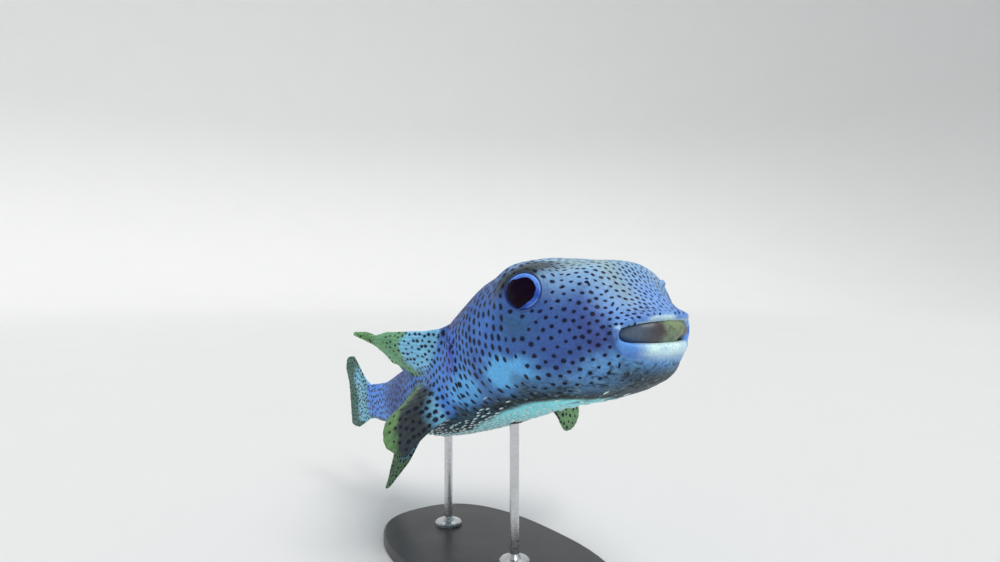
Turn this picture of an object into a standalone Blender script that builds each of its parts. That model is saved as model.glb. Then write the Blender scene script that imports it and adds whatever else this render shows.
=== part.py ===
"""A spot-fin porcupinefish, not puffed up, on a display stand. Metres, +Z up, the fish faces +X."""

import bpy
import bmesh
import math
import numpy as np
from mathutils import Matrix, Vector

# ---------------------------------------------------------------- driving dimensions
STANDARD_LENGTH = 0.470     # lips to the root of the tail fin
NOSE_UP = 15.2              # degrees that the long axis rises towards the snout
SNOUT_AHEAD = 0.205         # lips ahead of the stand's centre
SNOUT_HEIGHT = 0.226        # lips above the floor
GAP = 0.0003                # clearance between touching pieces

HEAD_END = 0.163            # the gill slit
TRUNK_END = 0.396           # behind the dorsal and anal fins
TAIL_END_ROUNDING = 0.0028  # the tail's root draws in by this at its end
AROUND = 36                 # points round a body ring

# Rings of the body, from the mouth's edge to the tail: distance behind the lips, half width, top, bottom,
# how far the sides are drawn back, and squareness (2 is an ellipse).
BODY_STATIONS = (
    ("mouth edge", 0.0050, 0.0305, -0.0002, -0.0132, 0.0150, 2.6),
    ("lip crest", 0.0000, 0.0330, 0.0040, -0.0175, 0.0155, 2.5),
    ("lip root", 0.0036, 0.0345, 0.0116, -0.0240, 0.0148, 2.3),
    ("muzzle", 0.0140, 0.0360, 0.0262, -0.0305, 0.0100, 2.2),
    ("nostrils", 0.0320, 0.0478, 0.0478, -0.0400, 0.0040, 2.4),
    ("cheeks", 0.0600, 0.0600, 0.0573, -0.0442, 0.0, 2.35),
    ("eyes", 0.0900, 0.0684, 0.0680, -0.0446, 0.0, 2.4),
    ("nape", 0.1300, 0.0700, 0.0695, -0.0456, 0.0, 2.4),
    ("gill slit", 0.1700, 0.0650, 0.0610, -0.0482, 0.0, 2.4),
    ("pectoral fins", 0.2200, 0.0560, 0.0480, -0.0520, 0.0, 2.4),
    ("belly", 0.2800, 0.0465, 0.0358, -0.0528, 0.0, 2.3),
    ("dorsal fin", 0.3500, 0.0330, 0.0258, -0.0445, 0.0, 2.2),
    ("peduncle", 0.4200, 0.0175, 0.0192, -0.0290, 0.0, 2.1),
    ("tail root", STANDARD_LENGTH, 0.0085, 0.0222, -0.0195, 0.0, 2.0),
)
MOUTH_CORNER_RISE = 0.0030  # the corners of the mouth sit above its middle

# Low swellings of the body: distance behind the lips, out, up, height and spread
SWELLINGS = (
    ("behind the eye", 0.0900, 0.0640, 0.0400, 0.0034, 0.0140),
    ("brow", 0.0720, 0.0480, 0.0560, 0.0014, 0.0120),
)

EYE_BEHIND = 0.0738         # centre of the eye's rim, behind the lips
EYE_OUT = 0.0602
EYE_UP = 0.0352
EYE_RIM_SHARE = 0.87        # the rim's radius as a share of the eyeball's
EYE_HALF_LENGTH = 0.0162    # along the body
EYE_HALF_HEIGHT = 0.0149
EYE_HALF_DEPTH = 0.0088
EYE_FACES = (0.45, 0.89, 0.02)   # forward, outward and up

# ---------------------------------------------------------------- scene and materials


def clear_scene():
    for obj in list(bpy.data.objects):
        bpy.data.objects.remove(obj, do_unlink=True)


def collection(name):
    made = bpy.data.collections.new(name)
    bpy.context.scene.collection.children.link(made)
    return made


def material(name, colour, roughness, metallic=0.0):
    made = bpy.data.materials.new(name)
    made.use_nodes = True
    shader = made.node_tree.nodes["Principled BSDF"]
    shader.inputs["Base Color"].default_value = (*colour, 1.0)
    shader.inputs["Roughness"].default_value = roughness
    shader.inputs["Metallic"].default_value = metallic
    return made


clear_scene()
PARTS = collection("porcupinefish")
CUTTERS = collection("cutters")

FISH_AXIS = bpy.data.objects.new("fish_axis", None)
FISH_AXIS.location = (SNOUT_AHEAD, 0.0, SNOUT_HEIGHT)
FISH_AXIS.rotation_euler = (0.0, math.radians(-NOSE_UP), 0.0)
PARTS.objects.link(FISH_AXIS)
FISH_MATRIX = Matrix.LocRotScale(FISH_AXIS.location, FISH_AXIS.rotation_euler, None)


def add_object(name, bm, mat, on_fish=True, cutter=False):
    """Turn a bmesh into an object, with its faces pointing out."""
    bmesh.ops.recalc_face_normals(bm, faces=bm.faces)
    mesh = bpy.data.meshes.new(name)
    bm.to_mesh(mesh)
    bm.free()
    obj = bpy.data.objects.new(name, mesh)
    (CUTTERS if cutter else PARTS).objects.link(obj)
    if on_fish:
        obj.parent = FISH_AXIS
    if cutter:
        obj.hide_render = True
        obj.display_type = "WIRE"
    else:
        mesh.materials.append(mat)
        mesh.shade_smooth()
        mesh.set_sharp_from_angle(angle=math.radians(40))
    return obj


def boolean(obj, cutter, operation="DIFFERENCE"):
    mod = obj.modifiers.new(f"{operation.lower()} {cutter.name}", "BOOLEAN")
    mod.operation = operation
    mod.solver = "EXACT"
    mod.object = cutter


# ---------------------------------------------------------------- the body's form

STATION_VALUES = np.array([station[1:] for station in BODY_STATIONS])
STATION_STEPS = np.linalg.norm(np.diff(STATION_VALUES[:, :4], axis=0), axis=1) ** 0.8
STATION_PLACES = np.concatenate([[0.0], np.cumsum(STATION_STEPS)])
STATION_SLOPES = np.gradient(STATION_VALUES, STATION_PLACES, axis=0)


def ring_values(place):
    """A smooth curve through the stations: behind, half width, top, bottom, drawn back, squareness."""
    k = np.searchsorted(STATION_PLACES, place, side="right") - 1
    k = int(np.clip(k, 0, len(STATION_PLACES) - 2))
    span = STATION_PLACES[k + 1] - STATION_PLACES[k]
    u = (place - STATION_PLACES[k]) / span
    return (
        (2 * u**3 - 3 * u**2 + 1) * STATION_VALUES[k]
        + (u**3 - 2 * u**2 + u) * span * STATION_SLOPES[k]
        + (3 * u**2 - 2 * u**3) * STATION_VALUES[k + 1]
        + (u**3 - u**2) * span * STATION_SLOPES[k + 1]
    )


def place_behind(behind):
    """The place along the loft where the body is this far behind the lips."""
    low, high = STATION_PLACES[1], STATION_PLACES[-1]
    for _ in range(40):
        middle = (low + high) / 2
        if ring_values(middle)[0] < behind:
            low = middle
        else:
            high = middle
    return (low + high) / 2


def signed_power(value, power):
    return math.copysign(abs(value) ** power, value)


def ring_point(values, angle):
    """A point of a ring. The angle runs from the left side (0) over the back (90) to the right (180)."""
    behind, half_width, top, bottom, drawn_back, squareness = values
    across = math.cos(math.radians(angle))
    height = math.sin(math.radians(angle))
    power = 2.0 / squareness
    corner_rise = MOUTH_CORNER_RISE * across**2 * drawn_back / 0.018
    point = Vector((
        -behind - drawn_back * across**2,
        half_width * signed_power(across, power),
        (top + bottom) / 2 + (top - bottom) / 2 * signed_power(height, power) + corner_rise,
    ))
    outward = Vector((0.0, across, height))
    for _, back, out, up, rise, spread in SWELLINGS:
        distance = (point - Vector((-back, math.copysign(out, across), up))).length
        point += outward * (rise * math.exp(-((distance / spread) ** 2)))
    return point


def swollen(values, by):
    grown = np.array(values, dtype=float)
    grown[1] += by
    grown[2] += by
    grown[3] -= by
    return grown


def ring_angles(count):
    return [360.0 * i / count for i in range(count)]


def loft(bm, rings):
    """Join rings of equal count into a closed skin with flat ends."""
    loops = [[bm.verts.new(point) for point in ring] for ring in rings]
    for near, far in zip(loops, loops[1:]):
        for i in range(len(near)):
            j = (i + 1) % len(near)
            bm.faces.new((near[i], near[j], far[j], far[i]))
    bm.faces.new(loops[0])
    bm.faces.new(reversed(loops[-1]))


def body_rings(first_place, last_place, count, by=0.0, around=AROUND):
    return [
        [ring_point(swollen(ring_values(place), by), angle) for angle in ring_angles(around)]
        for place in np.linspace(first_place, last_place, count)
    ]


def body_top(behind):
    return ring_values(place_behind(behind))[2]


def body_bottom(behind):
    return ring_values(place_behind(behind))[3]


# ---------------------------------------------------------------- head

MOUTH_DEPTH = 0.030
MOUTH_LINING = (                 # rings inside the mouth, from its floor to the edge
    (MOUTH_DEPTH, 0.0240, 0.0045, -0.0185, 0.0, 2.6),
    (0.0260, 0.0290, 0.0065, -0.0205, 0.0040, 2.8),
    (0.0160, 0.0305, 0.0065, -0.0205, 0.0110, 2.8),
    (0.0095, 0.0300, 0.0040, -0.0170, 0.0145, 2.7),
)
JAW_REAR = 0.050                 # the lower jaw reaches this far behind the lips at the mouth's height
JAW_REAR_BELOW = 0.070           # and this far under the chin


def eye_axis(side):
    return Vector((EYE_FACES[0], side * EYE_FACES[1], EYE_FACES[2])).normalized()


def eye_centre(side):
    rim = Vector((-EYE_BEHIND, side * EYE_OUT, EYE_UP))
    return rim - eye_axis(side) * (EYE_HALF_DEPTH * math.sqrt(1 - EYE_RIM_SHARE**2))


def eyeball(name, side, by, mat=None, cutter=False):
    """A flattened ball whose short axis points where the eye looks."""
    bm = bmesh.new()
    bmesh.ops.create_uvsphere(bm, u_segments=20, v_segments=12, radius=1.0)
    half_axes = (EYE_HALF_HEIGHT + by, EYE_HALF_LENGTH + by, EYE_HALF_DEPTH + by)
    bmesh.ops.scale(bm, vec=half_axes, verts=bm.verts)
    obj = add_object(name, bm, mat, cutter=cutter)
    obj.location = eye_centre(side)
    obj.rotation_euler = (eye_axis(side) * -1).to_track_quat("-Z", "X").to_euler()
    return obj


def make_head(skin):
    lining = [[ring_point(values, angle) for angle in ring_angles(AROUND)] for values in MOUTH_LINING]
    outside = body_rings(STATION_PLACES[0], place_behind(HEAD_END - GAP / 2), 22)
    bm = bmesh.new()
    loft(bm, lining + outside)
    head = add_object("head", bm, skin)
    bm = bmesh.new()
    loft(bm, lining + outside)
    jaw = add_object("lower_jaw", bm, skin)
    for name, obj, inset, operation in (
        ("jaw_clearance", head, 0.0, "DIFFERENCE"),
        ("jaw_outline", jaw, GAP, "INTERSECT"),
    ):
        boolean(obj, make_jaw_block(name, inset), operation)
    for side, word in ((1, "left"), (-1, "right")):
        boolean(head, eyeball(f"eye_socket_{word}", side, GAP, cutter=True))


def make_jaw_block(name, inset):
    """A block that passes through the corners of the mouth and whose back slants down and aft."""
    corner_height = (STATION_VALUES[0][2] + STATION_VALUES[0][3]) / 2 + MOUTH_CORNER_RISE
    outline = (
        (0.030, corner_height - inset),
        (-JAW_REAR + inset, corner_height - inset),
        (-JAW_REAR_BELOW + inset, -0.080),
        (0.030, -0.080),
    )
    bm = bmesh.new()
    loft(bm, [[Vector((x, y, z)) for x, z in outline] for y in (-0.10, 0.10)])
    return add_object(name, bm, None, cutter=True)


TOOTH_HEIGHT = 0.0075
TOOTH_THICKNESS = 0.0034
TOOTH_HALF_WIDTH = 0.0200
TOOTH_DRAWN_BACK = 0.0105        # the plates' ends lie this far behind their middles
TOOTH_PLATES = {                 # how deep and at what level their middles lie
    "tooth_plate_upper": (0.0125, -0.0004),
    "tooth_plate_lower": (0.0130, -0.0137),
}


def make_tooth_plate(name, deep, level, enamel):
    """One of the two beak plates: a bar bent round the inside of the lips."""
    steps = 12
    bm = bmesh.new()
    rings = []
    for i in range(steps + 1):
        across = -1.0 + 2.0 * i / steps
        bend = across**2
        centre = Vector((
            -deep - TOOTH_DRAWN_BACK * bend,
            TOOTH_HALF_WIDTH * across,
            level + 0.5 * MOUTH_CORNER_RISE * bend,
        ))
        tangent = Vector((-2 * TOOTH_DRAWN_BACK * across, TOOTH_HALF_WIDTH, 0.0)).normalized()
        outward = Vector((tangent.y, -tangent.x, 0.0))
        slim = 1.0 - 0.45 * across**4
        half_thick, half_high = TOOTH_THICKNESS / 2 * slim, TOOTH_HEIGHT / 2 * slim
        rings.append([
            centre + outward * (half_thick * math.cos(a)) + Vector((0.0, 0.0, half_high * math.sin(a)))
            for a in (math.radians(45 * k) for k in range(8))
        ])
    loft(bm, rings)
    add_object(name, bm, enamel)


# ---------------------------------------------------------------- trunk and tail

ROD_RADIUS = 0.0040
ROD_GRIP = 0.018                 # how far a rod goes up into the belly
ROD_PLACES = {"front": 0.036, "rear": -0.072}   # along X from the stand's centre


def belly_over(x):
    """World height of the belly's middle above a point of the floor."""
    places = np.arange(HEAD_END, TRUNK_END, 0.0007)
    belly = [FISH_MATRIX @ Vector((-behind, 0.0, body_bottom(behind))) for behind in places]
    return min(belly, key=lambda point: abs(point.x - x)).z


def rod_socket(word, x, top):
    """The upright hole that a rod goes into."""
    depth, radius = 0.060, ROD_RADIUS + GAP
    bm = bmesh.new()
    bmesh.ops.create_cone(bm, cap_ends=True, segments=16, radius1=radius, radius2=radius, depth=depth)
    obj = add_object(f"rod_socket_{word}", bm, None, on_fish=False, cutter=True)
    obj.location = (x, 0.0, top - depth / 2)
    return obj


def make_trunk(skin):
    bm = bmesh.new()
    loft(bm, body_rings(place_behind(HEAD_END + GAP / 2), place_behind(TRUNK_END - GAP / 2), 17))
    trunk = add_object("trunk", bm, skin)
    for word, x in ROD_PLACES.items():
        top = belly_over(x) + ROD_GRIP + GAP
        boolean(trunk, rod_socket(word, x, top))


def make_tail(skin):
    rings = body_rings(place_behind(TRUNK_END + GAP / 2), STATION_PLACES[-1], 7)
    end = swollen(STATION_VALUES[-1], -TAIL_END_ROUNDING)
    end[0] += TAIL_END_ROUNDING
    rings.append([ring_point(end, angle) for angle in ring_angles(AROUND)])
    bm = bmesh.new()
    loft(bm, rings)
    add_object("tail_peduncle", bm, skin)


# ---------------------------------------------------------------- fins

RAYS = 16
ALONG = 6


def blend(values, share):
    """A smooth curve through evenly spaced values, read at a share from 0 to 1."""
    places = np.linspace(0.0, 1.0, len(values))
    slopes = np.gradient(np.array(values, dtype=float), places)
    k = int(np.clip(share * (len(values) - 1), 0, len(values) - 2))
    span = places[k + 1] - places[k]
    u = (share - places[k]) / span
    return (
        (2 * u**3 - 3 * u**2 + 1) * values[k] + (u**3 - 2 * u**2 + u) * span * slopes[k]
        + (3 * u**2 - 2 * u**3) * values[k + 1] + (u**3 - u**2) * span * slopes[k + 1]
    )


def fin_rays(fin, side=1):
    """Points of each ray, root to tip. Reach is how far the tip lies back, out and up from its root."""
    rays = []
    for i in range(RAYS):
        share = i / (RAYS - 1)
        root = Vector([blend([p[axis] for p in fin["root"]], share) for axis in range(3)])
        reach = Vector([blend([p[axis] for p in fin["reach"]], share) for axis in range(3)])
        bow = Vector(fin["bow"])
        ray = []
        for j in range(ALONG):
            r = j / (ALONG - 1)
            point = root + reach * r + bow * (4 * r * (1 - r))
            ray.append(Vector((point.x, point.y * side, point.z)))
        rays.append(ray)
    return rays


def fin_sheet(bm, rays, fin, face):
    """One face of the membrane, half its thickness away from the rays."""
    grid = []
    for i, ray in enumerate(rays):
        row = []
        for j, point in enumerate(ray):
            along = ray[min(j + 1, ALONG - 1)] - ray[max(j - 1, 0)]
            across = rays[min(i + 1, RAYS - 1)][j] - rays[max(i - 1, 0)][j]
            outwards = j / (ALONG - 1)
            thickness = fin["root_thickness"] * (1 - outwards) ** 2 + fin["edge_thickness"]
            row.append(bm.verts.new(point + along.cross(across).normalized() * (face * thickness / 2)))
        grid.append(row)
    for i in range(RAYS - 1):
        for j in range(ALONG - 1):
            bm.faces.new((grid[i][j], grid[i + 1][j], grid[i + 1][j + 1], grid[i][j + 1]))
    return grid


def grid_border(grid):
    """The points round the edge of a grid, in order."""
    return grid[0][:] + [row[-1] for row in grid[1:]] + grid[-1][-2::-1] + [row[0] for row in grid[-2:0:-1]]


def make_fin(name, fin, skin, side=1, cut_by=None):
    """A membrane with two faces that come together towards the margin, thick and fleshy at the root."""
    rays = fin_rays(fin, side)
    bm = bmesh.new()
    upper, lower = (grid_border(fin_sheet(bm, rays, fin, face)) for face in (1, -1))
    for k in range(len(upper)):
        n = (k + 1) % len(upper)
        bm.faces.new((upper[k], upper[n], lower[n], lower[k]))
    fin_object = add_object(name, bm, skin)
    if cut_by:
        boolean(fin_object, cut_by)


SINK = 0.006                     # a fin's root starts this deep in the body before it is trimmed
EDGE_THICKNESS = 0.0012
PECTORAL = {
    "root": [
        (-0.195, 0.0620 - SINK, 0.0335), (-0.204, 0.0595 - SINK, 0.0010), (-0.216, 0.0535 - SINK, -0.0345)],
    "reach": [
        (-0.070, 0.0095, 0.0170), (-0.084, 0.0225, 0.0175), (-0.081, 0.0140, 0.0150),
        (-0.0775, 0.0022, 0.0096), (-0.070, -0.0050, -0.0005), (-0.057, -0.0010, -0.0078),
        (-0.067, 0.0240, -0.0138), (-0.064, 0.0325, -0.0230), (-0.044, 0.0185, -0.0300)],
    "bow": (0.0, 0.0030, 0.0),
    "root_thickness": 0.0060, "edge_thickness": EDGE_THICKNESS,
}
PECTORAL_LEFT = {
    "root": PECTORAL["root"],
    "reach": [
        (-0.052, 0.0480, 0.0200), (-0.056, 0.0600, 0.0180), (-0.052, 0.0640, 0.0100),
        (-0.047, 0.0620, 0.0020), (-0.041, 0.0600, -0.0060), (-0.035, 0.0620, -0.0140),
        (-0.027, 0.0640, -0.0240), (-0.018, 0.0590, -0.0335), (-0.010, 0.0470, -0.0290)],
    "bow": (0.0, 0.0040, 0.0),
    "root_thickness": 0.0060, "edge_thickness": EDGE_THICKNESS,
}


def median_fin(front, rear, level, reach, bow, side_lean):
    """Root and reach of the dorsal or anal fin, whose root follows the body from front to rear."""
    root = [(-behind, 0.0, level(behind)) for behind in np.linspace(front, rear, 3)]
    return {
        "root": root,
        "reach": [(x, side_lean * s, z) for x, s, z in reach],
        "bow": bow, "root_thickness": 0.0050, "edge_thickness": EDGE_THICKNESS,
    }


DORSAL = median_fin(
    0.3280, 0.3700, lambda behind: body_top(behind) - SINK,
    [(-0.078, 0.7, 0.0470), (-0.096, 0.95, 0.0610), (-0.095, 1.0, 0.0650), (-0.076, 0.9, 0.0620),
     (-0.054, 0.75, 0.0520), (-0.034, 0.5, 0.0400), (-0.018, 0.3, 0.0240)],
    (0.0, 0.0, 0.0030), -0.026)
ANAL = median_fin(
    0.3450, 0.3860, lambda behind: body_bottom(behind) + SINK,
    [(-0.058, 0.7, -0.0400), (-0.074, 0.95, -0.0560), (-0.077, 1.0, -0.0610), (-0.068, 0.9, -0.0560),
     (-0.054, 0.7, -0.0450), (-0.040, 0.5, -0.0330), (-0.030, 0.3, -0.0220)],
    (0.0, 0.0, -0.0030), -0.011)
CAUDAL = {
    "root": [(-0.4738, 0.0, 0.0190), (-0.4740, 0.0, 0.0010), (-0.4738, 0.0, -0.0165)],
    "reach": [
        (-0.030, 0.0, 0.0440), (-0.046, 0.0, 0.0500), (-0.060, 0.0, 0.0420),
        (-0.066, 0.0, 0.0300), (-0.069, 0.0, 0.0180), (-0.068, 0.0, 0.0080),
        (-0.065, 0.0, -0.0010), (-0.060, 0.0, -0.0085), (-0.040, 0.0, -0.0100)],
    "bow": (0.0, 0.0, 0.0),
    "root_thickness": 0.0060, "edge_thickness": EDGE_THICKNESS,
}

# ---------------------------------------------------------------- stand

BASE_LENGTH = 0.260
BASE_WIDTH = 0.150
BASE_THICKNESS = 0.010
FLANGE_RADIUS = 0.0130


def make_base(paint):
    """A flat slab with rounded ends: an ellipse-like outline, extruded, with softened edges."""
    points = 56
    outline = [
        (BASE_LENGTH / 2 * signed_power(math.cos(a), 0.8), BASE_WIDTH / 2 * signed_power(math.sin(a), 0.8))
        for a in (2 * math.pi * i / points for i in range(points))
    ]
    bm = bmesh.new()
    loft(bm, [[Vector((x, y, z)) for x, y in outline] for z in (0.0, BASE_THICKNESS)])
    base = add_object("stand_base", bm, paint, on_fish=False)
    bevel = base.modifiers.new("softened edges", "BEVEL")
    bevel.width = 0.0015
    bevel.segments = 2
    bevel.limit_method = "ANGLE"
    bevel.angle_limit = math.radians(60)


def make_rod(word, x, steel):
    """A turned rod with a round foot, from the base into the belly."""
    floor = BASE_THICKNESS + GAP
    top = belly_over(x) + ROD_GRIP
    profile = (
        (0.0, top), (ROD_RADIUS - 0.0008, top), (ROD_RADIUS, top - 0.0008), (ROD_RADIUS, floor + 0.0080),
        (ROD_RADIUS + 0.0025, floor + 0.0045), (FLANGE_RADIUS - 0.001, floor + 0.0035),
        (FLANGE_RADIUS, floor + 0.0025), (FLANGE_RADIUS, floor), (0.0, floor))
    mesh = bpy.data.meshes.new(f"stand_rod_{word}")
    mesh.from_pydata([(r, 0.0, z) for r, z in profile], [(i, i + 1) for i in range(len(profile) - 1)], [])
    rod = bpy.data.objects.new(f"stand_rod_{word}", mesh)
    PARTS.objects.link(rod)
    mesh.materials.append(steel)
    rod.location = (x, 0.0, 0.0)
    screw = rod.modifiers.new("turned", "SCREW")
    screw.steps = screw.render_steps = 20
    screw.use_merge_vertices = True
    screw.merge_threshold = 0.00001
    screw.use_smooth_shade = True


# ---------------------------------------------------------------- build


def body_cutter():
    """The whole body, grown by the gap, that trims the roots of the fins."""
    bm = bmesh.new()
    rings = body_rings(place_behind(0.120), STATION_PLACES[-1], 26, by=GAP)
    loft(bm, rings)
    return add_object("body_clearance", bm, None, cutter=True)


def build():
    skin = material("spotted skin", (0.46, 0.50, 0.66), 0.45)
    fin_skin = material("fin membrane", (0.55, 0.60, 0.28), 0.45)
    iris = material("eye", (0.75, 0.78, 0.88), 0.10)
    enamel = material("beak enamel", (0.62, 0.57, 0.36), 0.30)
    paint = material("stand paint", (0.05, 0.05, 0.055), 0.45)
    steel = material("stand steel", (0.62, 0.62, 0.64), 0.28, 1.0)
    make_head(skin)
    make_trunk(skin)
    make_tail(skin)
    for side, word in ((1, "left"), (-1, "right")):
        eyeball(f"eye_{word}", side, 0.0, iris)
    for name, (deep, level) in TOOTH_PLATES.items():
        make_tooth_plate(name, deep, level, enamel)
    body = body_cutter()
    make_fin("pectoral_fin_right", PECTORAL, fin_skin, side=-1, cut_by=body)
    make_fin("pectoral_fin_left", PECTORAL_LEFT, fin_skin, side=1, cut_by=body)
    make_fin("dorsal_fin", DORSAL, fin_skin, cut_by=body)
    make_fin("anal_fin", ANAL, fin_skin, cut_by=body)
    make_fin("caudal_fin", CAUDAL, fin_skin)
    make_base(paint)
    for word, x in ROD_PLACES.items():
        make_rod(word, x, steel)


build()
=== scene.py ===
# A life-size porcupinefish on its display stand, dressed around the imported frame. Metres, +Z up.
import math
import bpy
import numpy as np
from mathutils import Matrix, Vector
from mathutils.bvhtree import BVHTree
from mathutils.geometry import barycentric_transform
from mathutils.kdtree import KDTree


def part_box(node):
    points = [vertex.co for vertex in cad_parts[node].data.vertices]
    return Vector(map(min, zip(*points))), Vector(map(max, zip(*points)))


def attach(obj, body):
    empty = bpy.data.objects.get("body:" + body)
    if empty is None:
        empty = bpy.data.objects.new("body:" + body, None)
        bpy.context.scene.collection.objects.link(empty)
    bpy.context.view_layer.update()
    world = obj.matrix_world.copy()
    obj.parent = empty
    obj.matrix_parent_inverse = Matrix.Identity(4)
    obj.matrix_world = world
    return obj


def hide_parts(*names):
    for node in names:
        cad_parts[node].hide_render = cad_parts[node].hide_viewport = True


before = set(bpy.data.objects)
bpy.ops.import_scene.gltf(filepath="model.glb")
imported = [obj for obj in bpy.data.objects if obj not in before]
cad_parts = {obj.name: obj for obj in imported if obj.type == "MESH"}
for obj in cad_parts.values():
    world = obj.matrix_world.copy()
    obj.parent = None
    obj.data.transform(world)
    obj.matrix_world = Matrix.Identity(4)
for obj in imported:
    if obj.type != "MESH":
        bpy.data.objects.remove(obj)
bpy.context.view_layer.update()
print("frame loaded:", len(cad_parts), "nodes")

# the fish's own axes: x ahead of the lips, y to its left, z up along its back

pose = {
    "snout": (0.205, 0.0, 0.226),   # the lips, from the middle of the stand's underside
    "noseUp": 15.2,                 # degrees
    "length": 0.470,                # lips to the root of the tail fin
}
fishMatrix = Matrix.LocRotScale(
    Vector(pose["snout"]), Matrix.Rotation(math.radians(-pose["noseUp"]), 3, "Y").to_quaternion(), None)
fishArray = np.array(fishMatrix)


def toWorld(points):
    return points @ fishArray[:3, :3].T + fishArray[:3, 3]


def unit(vectors):
    return vectors / np.maximum(np.linalg.norm(vectors, axis=-1, keepdims=True), 1e-12)


def smooth(low, high, value):
    t = np.clip((value - low) / (high - low), 0.0, 1.0)
    return t * t * (3 - 2 * t)


def bump(value, middle, spread):
    return np.exp(-((value - middle) / spread) ** 2)


def curveValues(table, places, slopes, at):
    # a smooth curve through the rows of a table
    k = np.clip(np.searchsorted(places, at, side="right") - 1, 0, len(places) - 2)
    span = (places[k + 1] - places[k])[:, None]
    u = (at[:, None] - places[k][:, None]) / span
    return (
        (2 * u**3 - 3 * u**2 + 1) * table[k] + (u**3 - 2 * u**2 + u) * span * slopes[k]
        + (3 * u**2 - 2 * u**3) * table[k + 1] + (u**3 - u**2) * span * slopes[k + 1])


def nearestOn(tree, point):
    hit, normal, _, _ = tree.find_nearest(Vector(point))
    return np.array(hit), np.array(normal)


def pointTree(points):
    made = KDTree(len(points))
    for k, p in enumerate(points.tolist()):
        made.insert(p, k)
    made.balance()
    return made


def inTriangles(faces):
    return np.concatenate([faces[:, [0, 1, 2]], faces[:, [0, 2, 3]]])


def fieldNoise(points, size, seed=0):
    # soft random field between -1 and 1, its lumps about this size across
    p = np.asarray(points) / size + 37.0
    cell = np.floor(p).astype(np.int64)
    part = p - cell
    part = part * part * (3 - 2 * part)
    total = np.zeros(p.shape[:-1])
    for dx in (0, 1):
        for dy in (0, 1):
            for dz in (0, 1):
                x, y, z = cell[..., 0] + dx, cell[..., 1] + dy, cell[..., 2] + dz
                mixed = (x * 73856093) ^ (y * 19349663) ^ (z * 83492791) ^ (seed * 2654435761)
                mixed = (mixed ^ (mixed >> 13)) * 1274126177 & 0x7FFFFFFF
                corner = ((mixed >> 7) % 4096) / 2047.5 - 1.0
                wx = part[..., 0] if dx else 1 - part[..., 0]
                wy = part[..., 1] if dy else 1 - part[..., 1]
                wz = part[..., 2] if dz else 1 - part[..., 2]
                total += corner * wx * wy * wz
    return total


# the body's form, ring by ring from the throat to the tail

body = {
    # behind the lips, half width, top, bottom, how far the sides, top and bottom are drawn back, squareness
    "rings": (
        (0.0310, 0.0230, 0.0040, -0.0190, 0.0010, 0.0, 0.0020, 2.6),
        (0.0270, 0.0280, 0.0060, -0.0215, 0.0060, 0.0, 0.0040, 2.8),
        (0.0160, 0.0302, 0.0056, -0.0218, 0.0140, 0.0, 0.0050, 3.0),
        (0.0095, 0.0308, 0.0028, -0.0172, 0.0162, 0.0, 0.0054, 3.2),
        (0.0050, 0.0314, -0.0012, -0.0134, 0.0166, 0.0, 0.0052, 3.2),
        (0.0002, 0.0344, 0.0030, -0.0168, 0.0162, 0.0, 0.0062, 2.8),
        (0.0018, 0.0358, 0.0102, -0.0252, 0.0160, 0.0042, 0.0076, 2.4),
        (0.0140, 0.0364, 0.0258, -0.0324, 0.0104, 0.0028, 0.0026, 2.2),
        (0.0320, 0.0478, 0.0478, -0.0400, 0.0040, 0.0, 0.0, 2.4),
        (0.0600, 0.0600, 0.0573, -0.0442, 0.0, 0.0, 0.0, 2.35),
        (0.0900, 0.0684, 0.0680, -0.0446, 0.0, 0.0, 0.0, 2.4),
        (0.1300, 0.0700, 0.0695, -0.0456, 0.0, 0.0, 0.0, 2.4),
        (0.1700, 0.0650, 0.0610, -0.0482, 0.0, 0.0, 0.0, 2.4),
        (0.2200, 0.0560, 0.0480, -0.0520, 0.0, 0.0, 0.0, 2.4),
        (0.2800, 0.0465, 0.0358, -0.0528, 0.0, 0.0, 0.0, 2.3),
        (0.3500, 0.0330, 0.0258, -0.0445, 0.0, 0.0, 0.0, 2.2),
        (0.4200, 0.0175, 0.0192, -0.0290, 0.0, 0.0, 0.0, 2.1),
        (0.4620, 0.0096, 0.0218, -0.0206, 0.0, 0.0, 0.0, 2.0),
        (pose["length"], 0.0076, 0.0216, -0.0194, 0.0, 0.0, 0.0, 2.0),
        (0.4735, 0.0052, 0.0206, -0.0182, 0.0, 0.0, 0.0, 2.0),
        (0.4755, 0.0026, 0.0190, -0.0168, 0.0, 0.0, 0.0, 2.0),
        (0.4762, 0.0008, 0.0166, -0.0146, 0.0, 0.0, 0.0, 2.0),
    ),
    "mouthRing": 4,                 # the ring at the mouth's edge
    "mouthCornerRise": 0.0026,
    # soft swellings: behind, out, up, height, spread
    "swellings": ((0.0900, 0.0640, 0.0400, 0.0034, 0.0140), (0.0720, 0.0490, 0.0550, 0.0024, 0.0110),
                  (0.0980, 0.0430, 0.0600, 0.0036, 0.0160)),
    "coatDepth": 0.0006,            # the skin lies this far inside the outline, under the spines
    "columns": 420,
    "rowSteps": ((0.0, 0.00068), (0.030, 0.00080), (0.165, 0.00105), (0.40, 0.00135)),  # from behind, step
}
ringTable = np.array(body["rings"])
ringSteps = np.linalg.norm(np.diff(ringTable[:, :4], axis=0), axis=1) ** 0.8
ringPlaces = np.concatenate([[0.0], np.cumsum(ringSteps)])
ringSlopes = np.gradient(ringTable, ringPlaces, axis=0)
mouthPlace = ringPlaces[body["mouthRing"]]


def ringValues(places):
    return curveValues(ringTable, ringPlaces, ringSlopes, np.atleast_1d(places))


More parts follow.
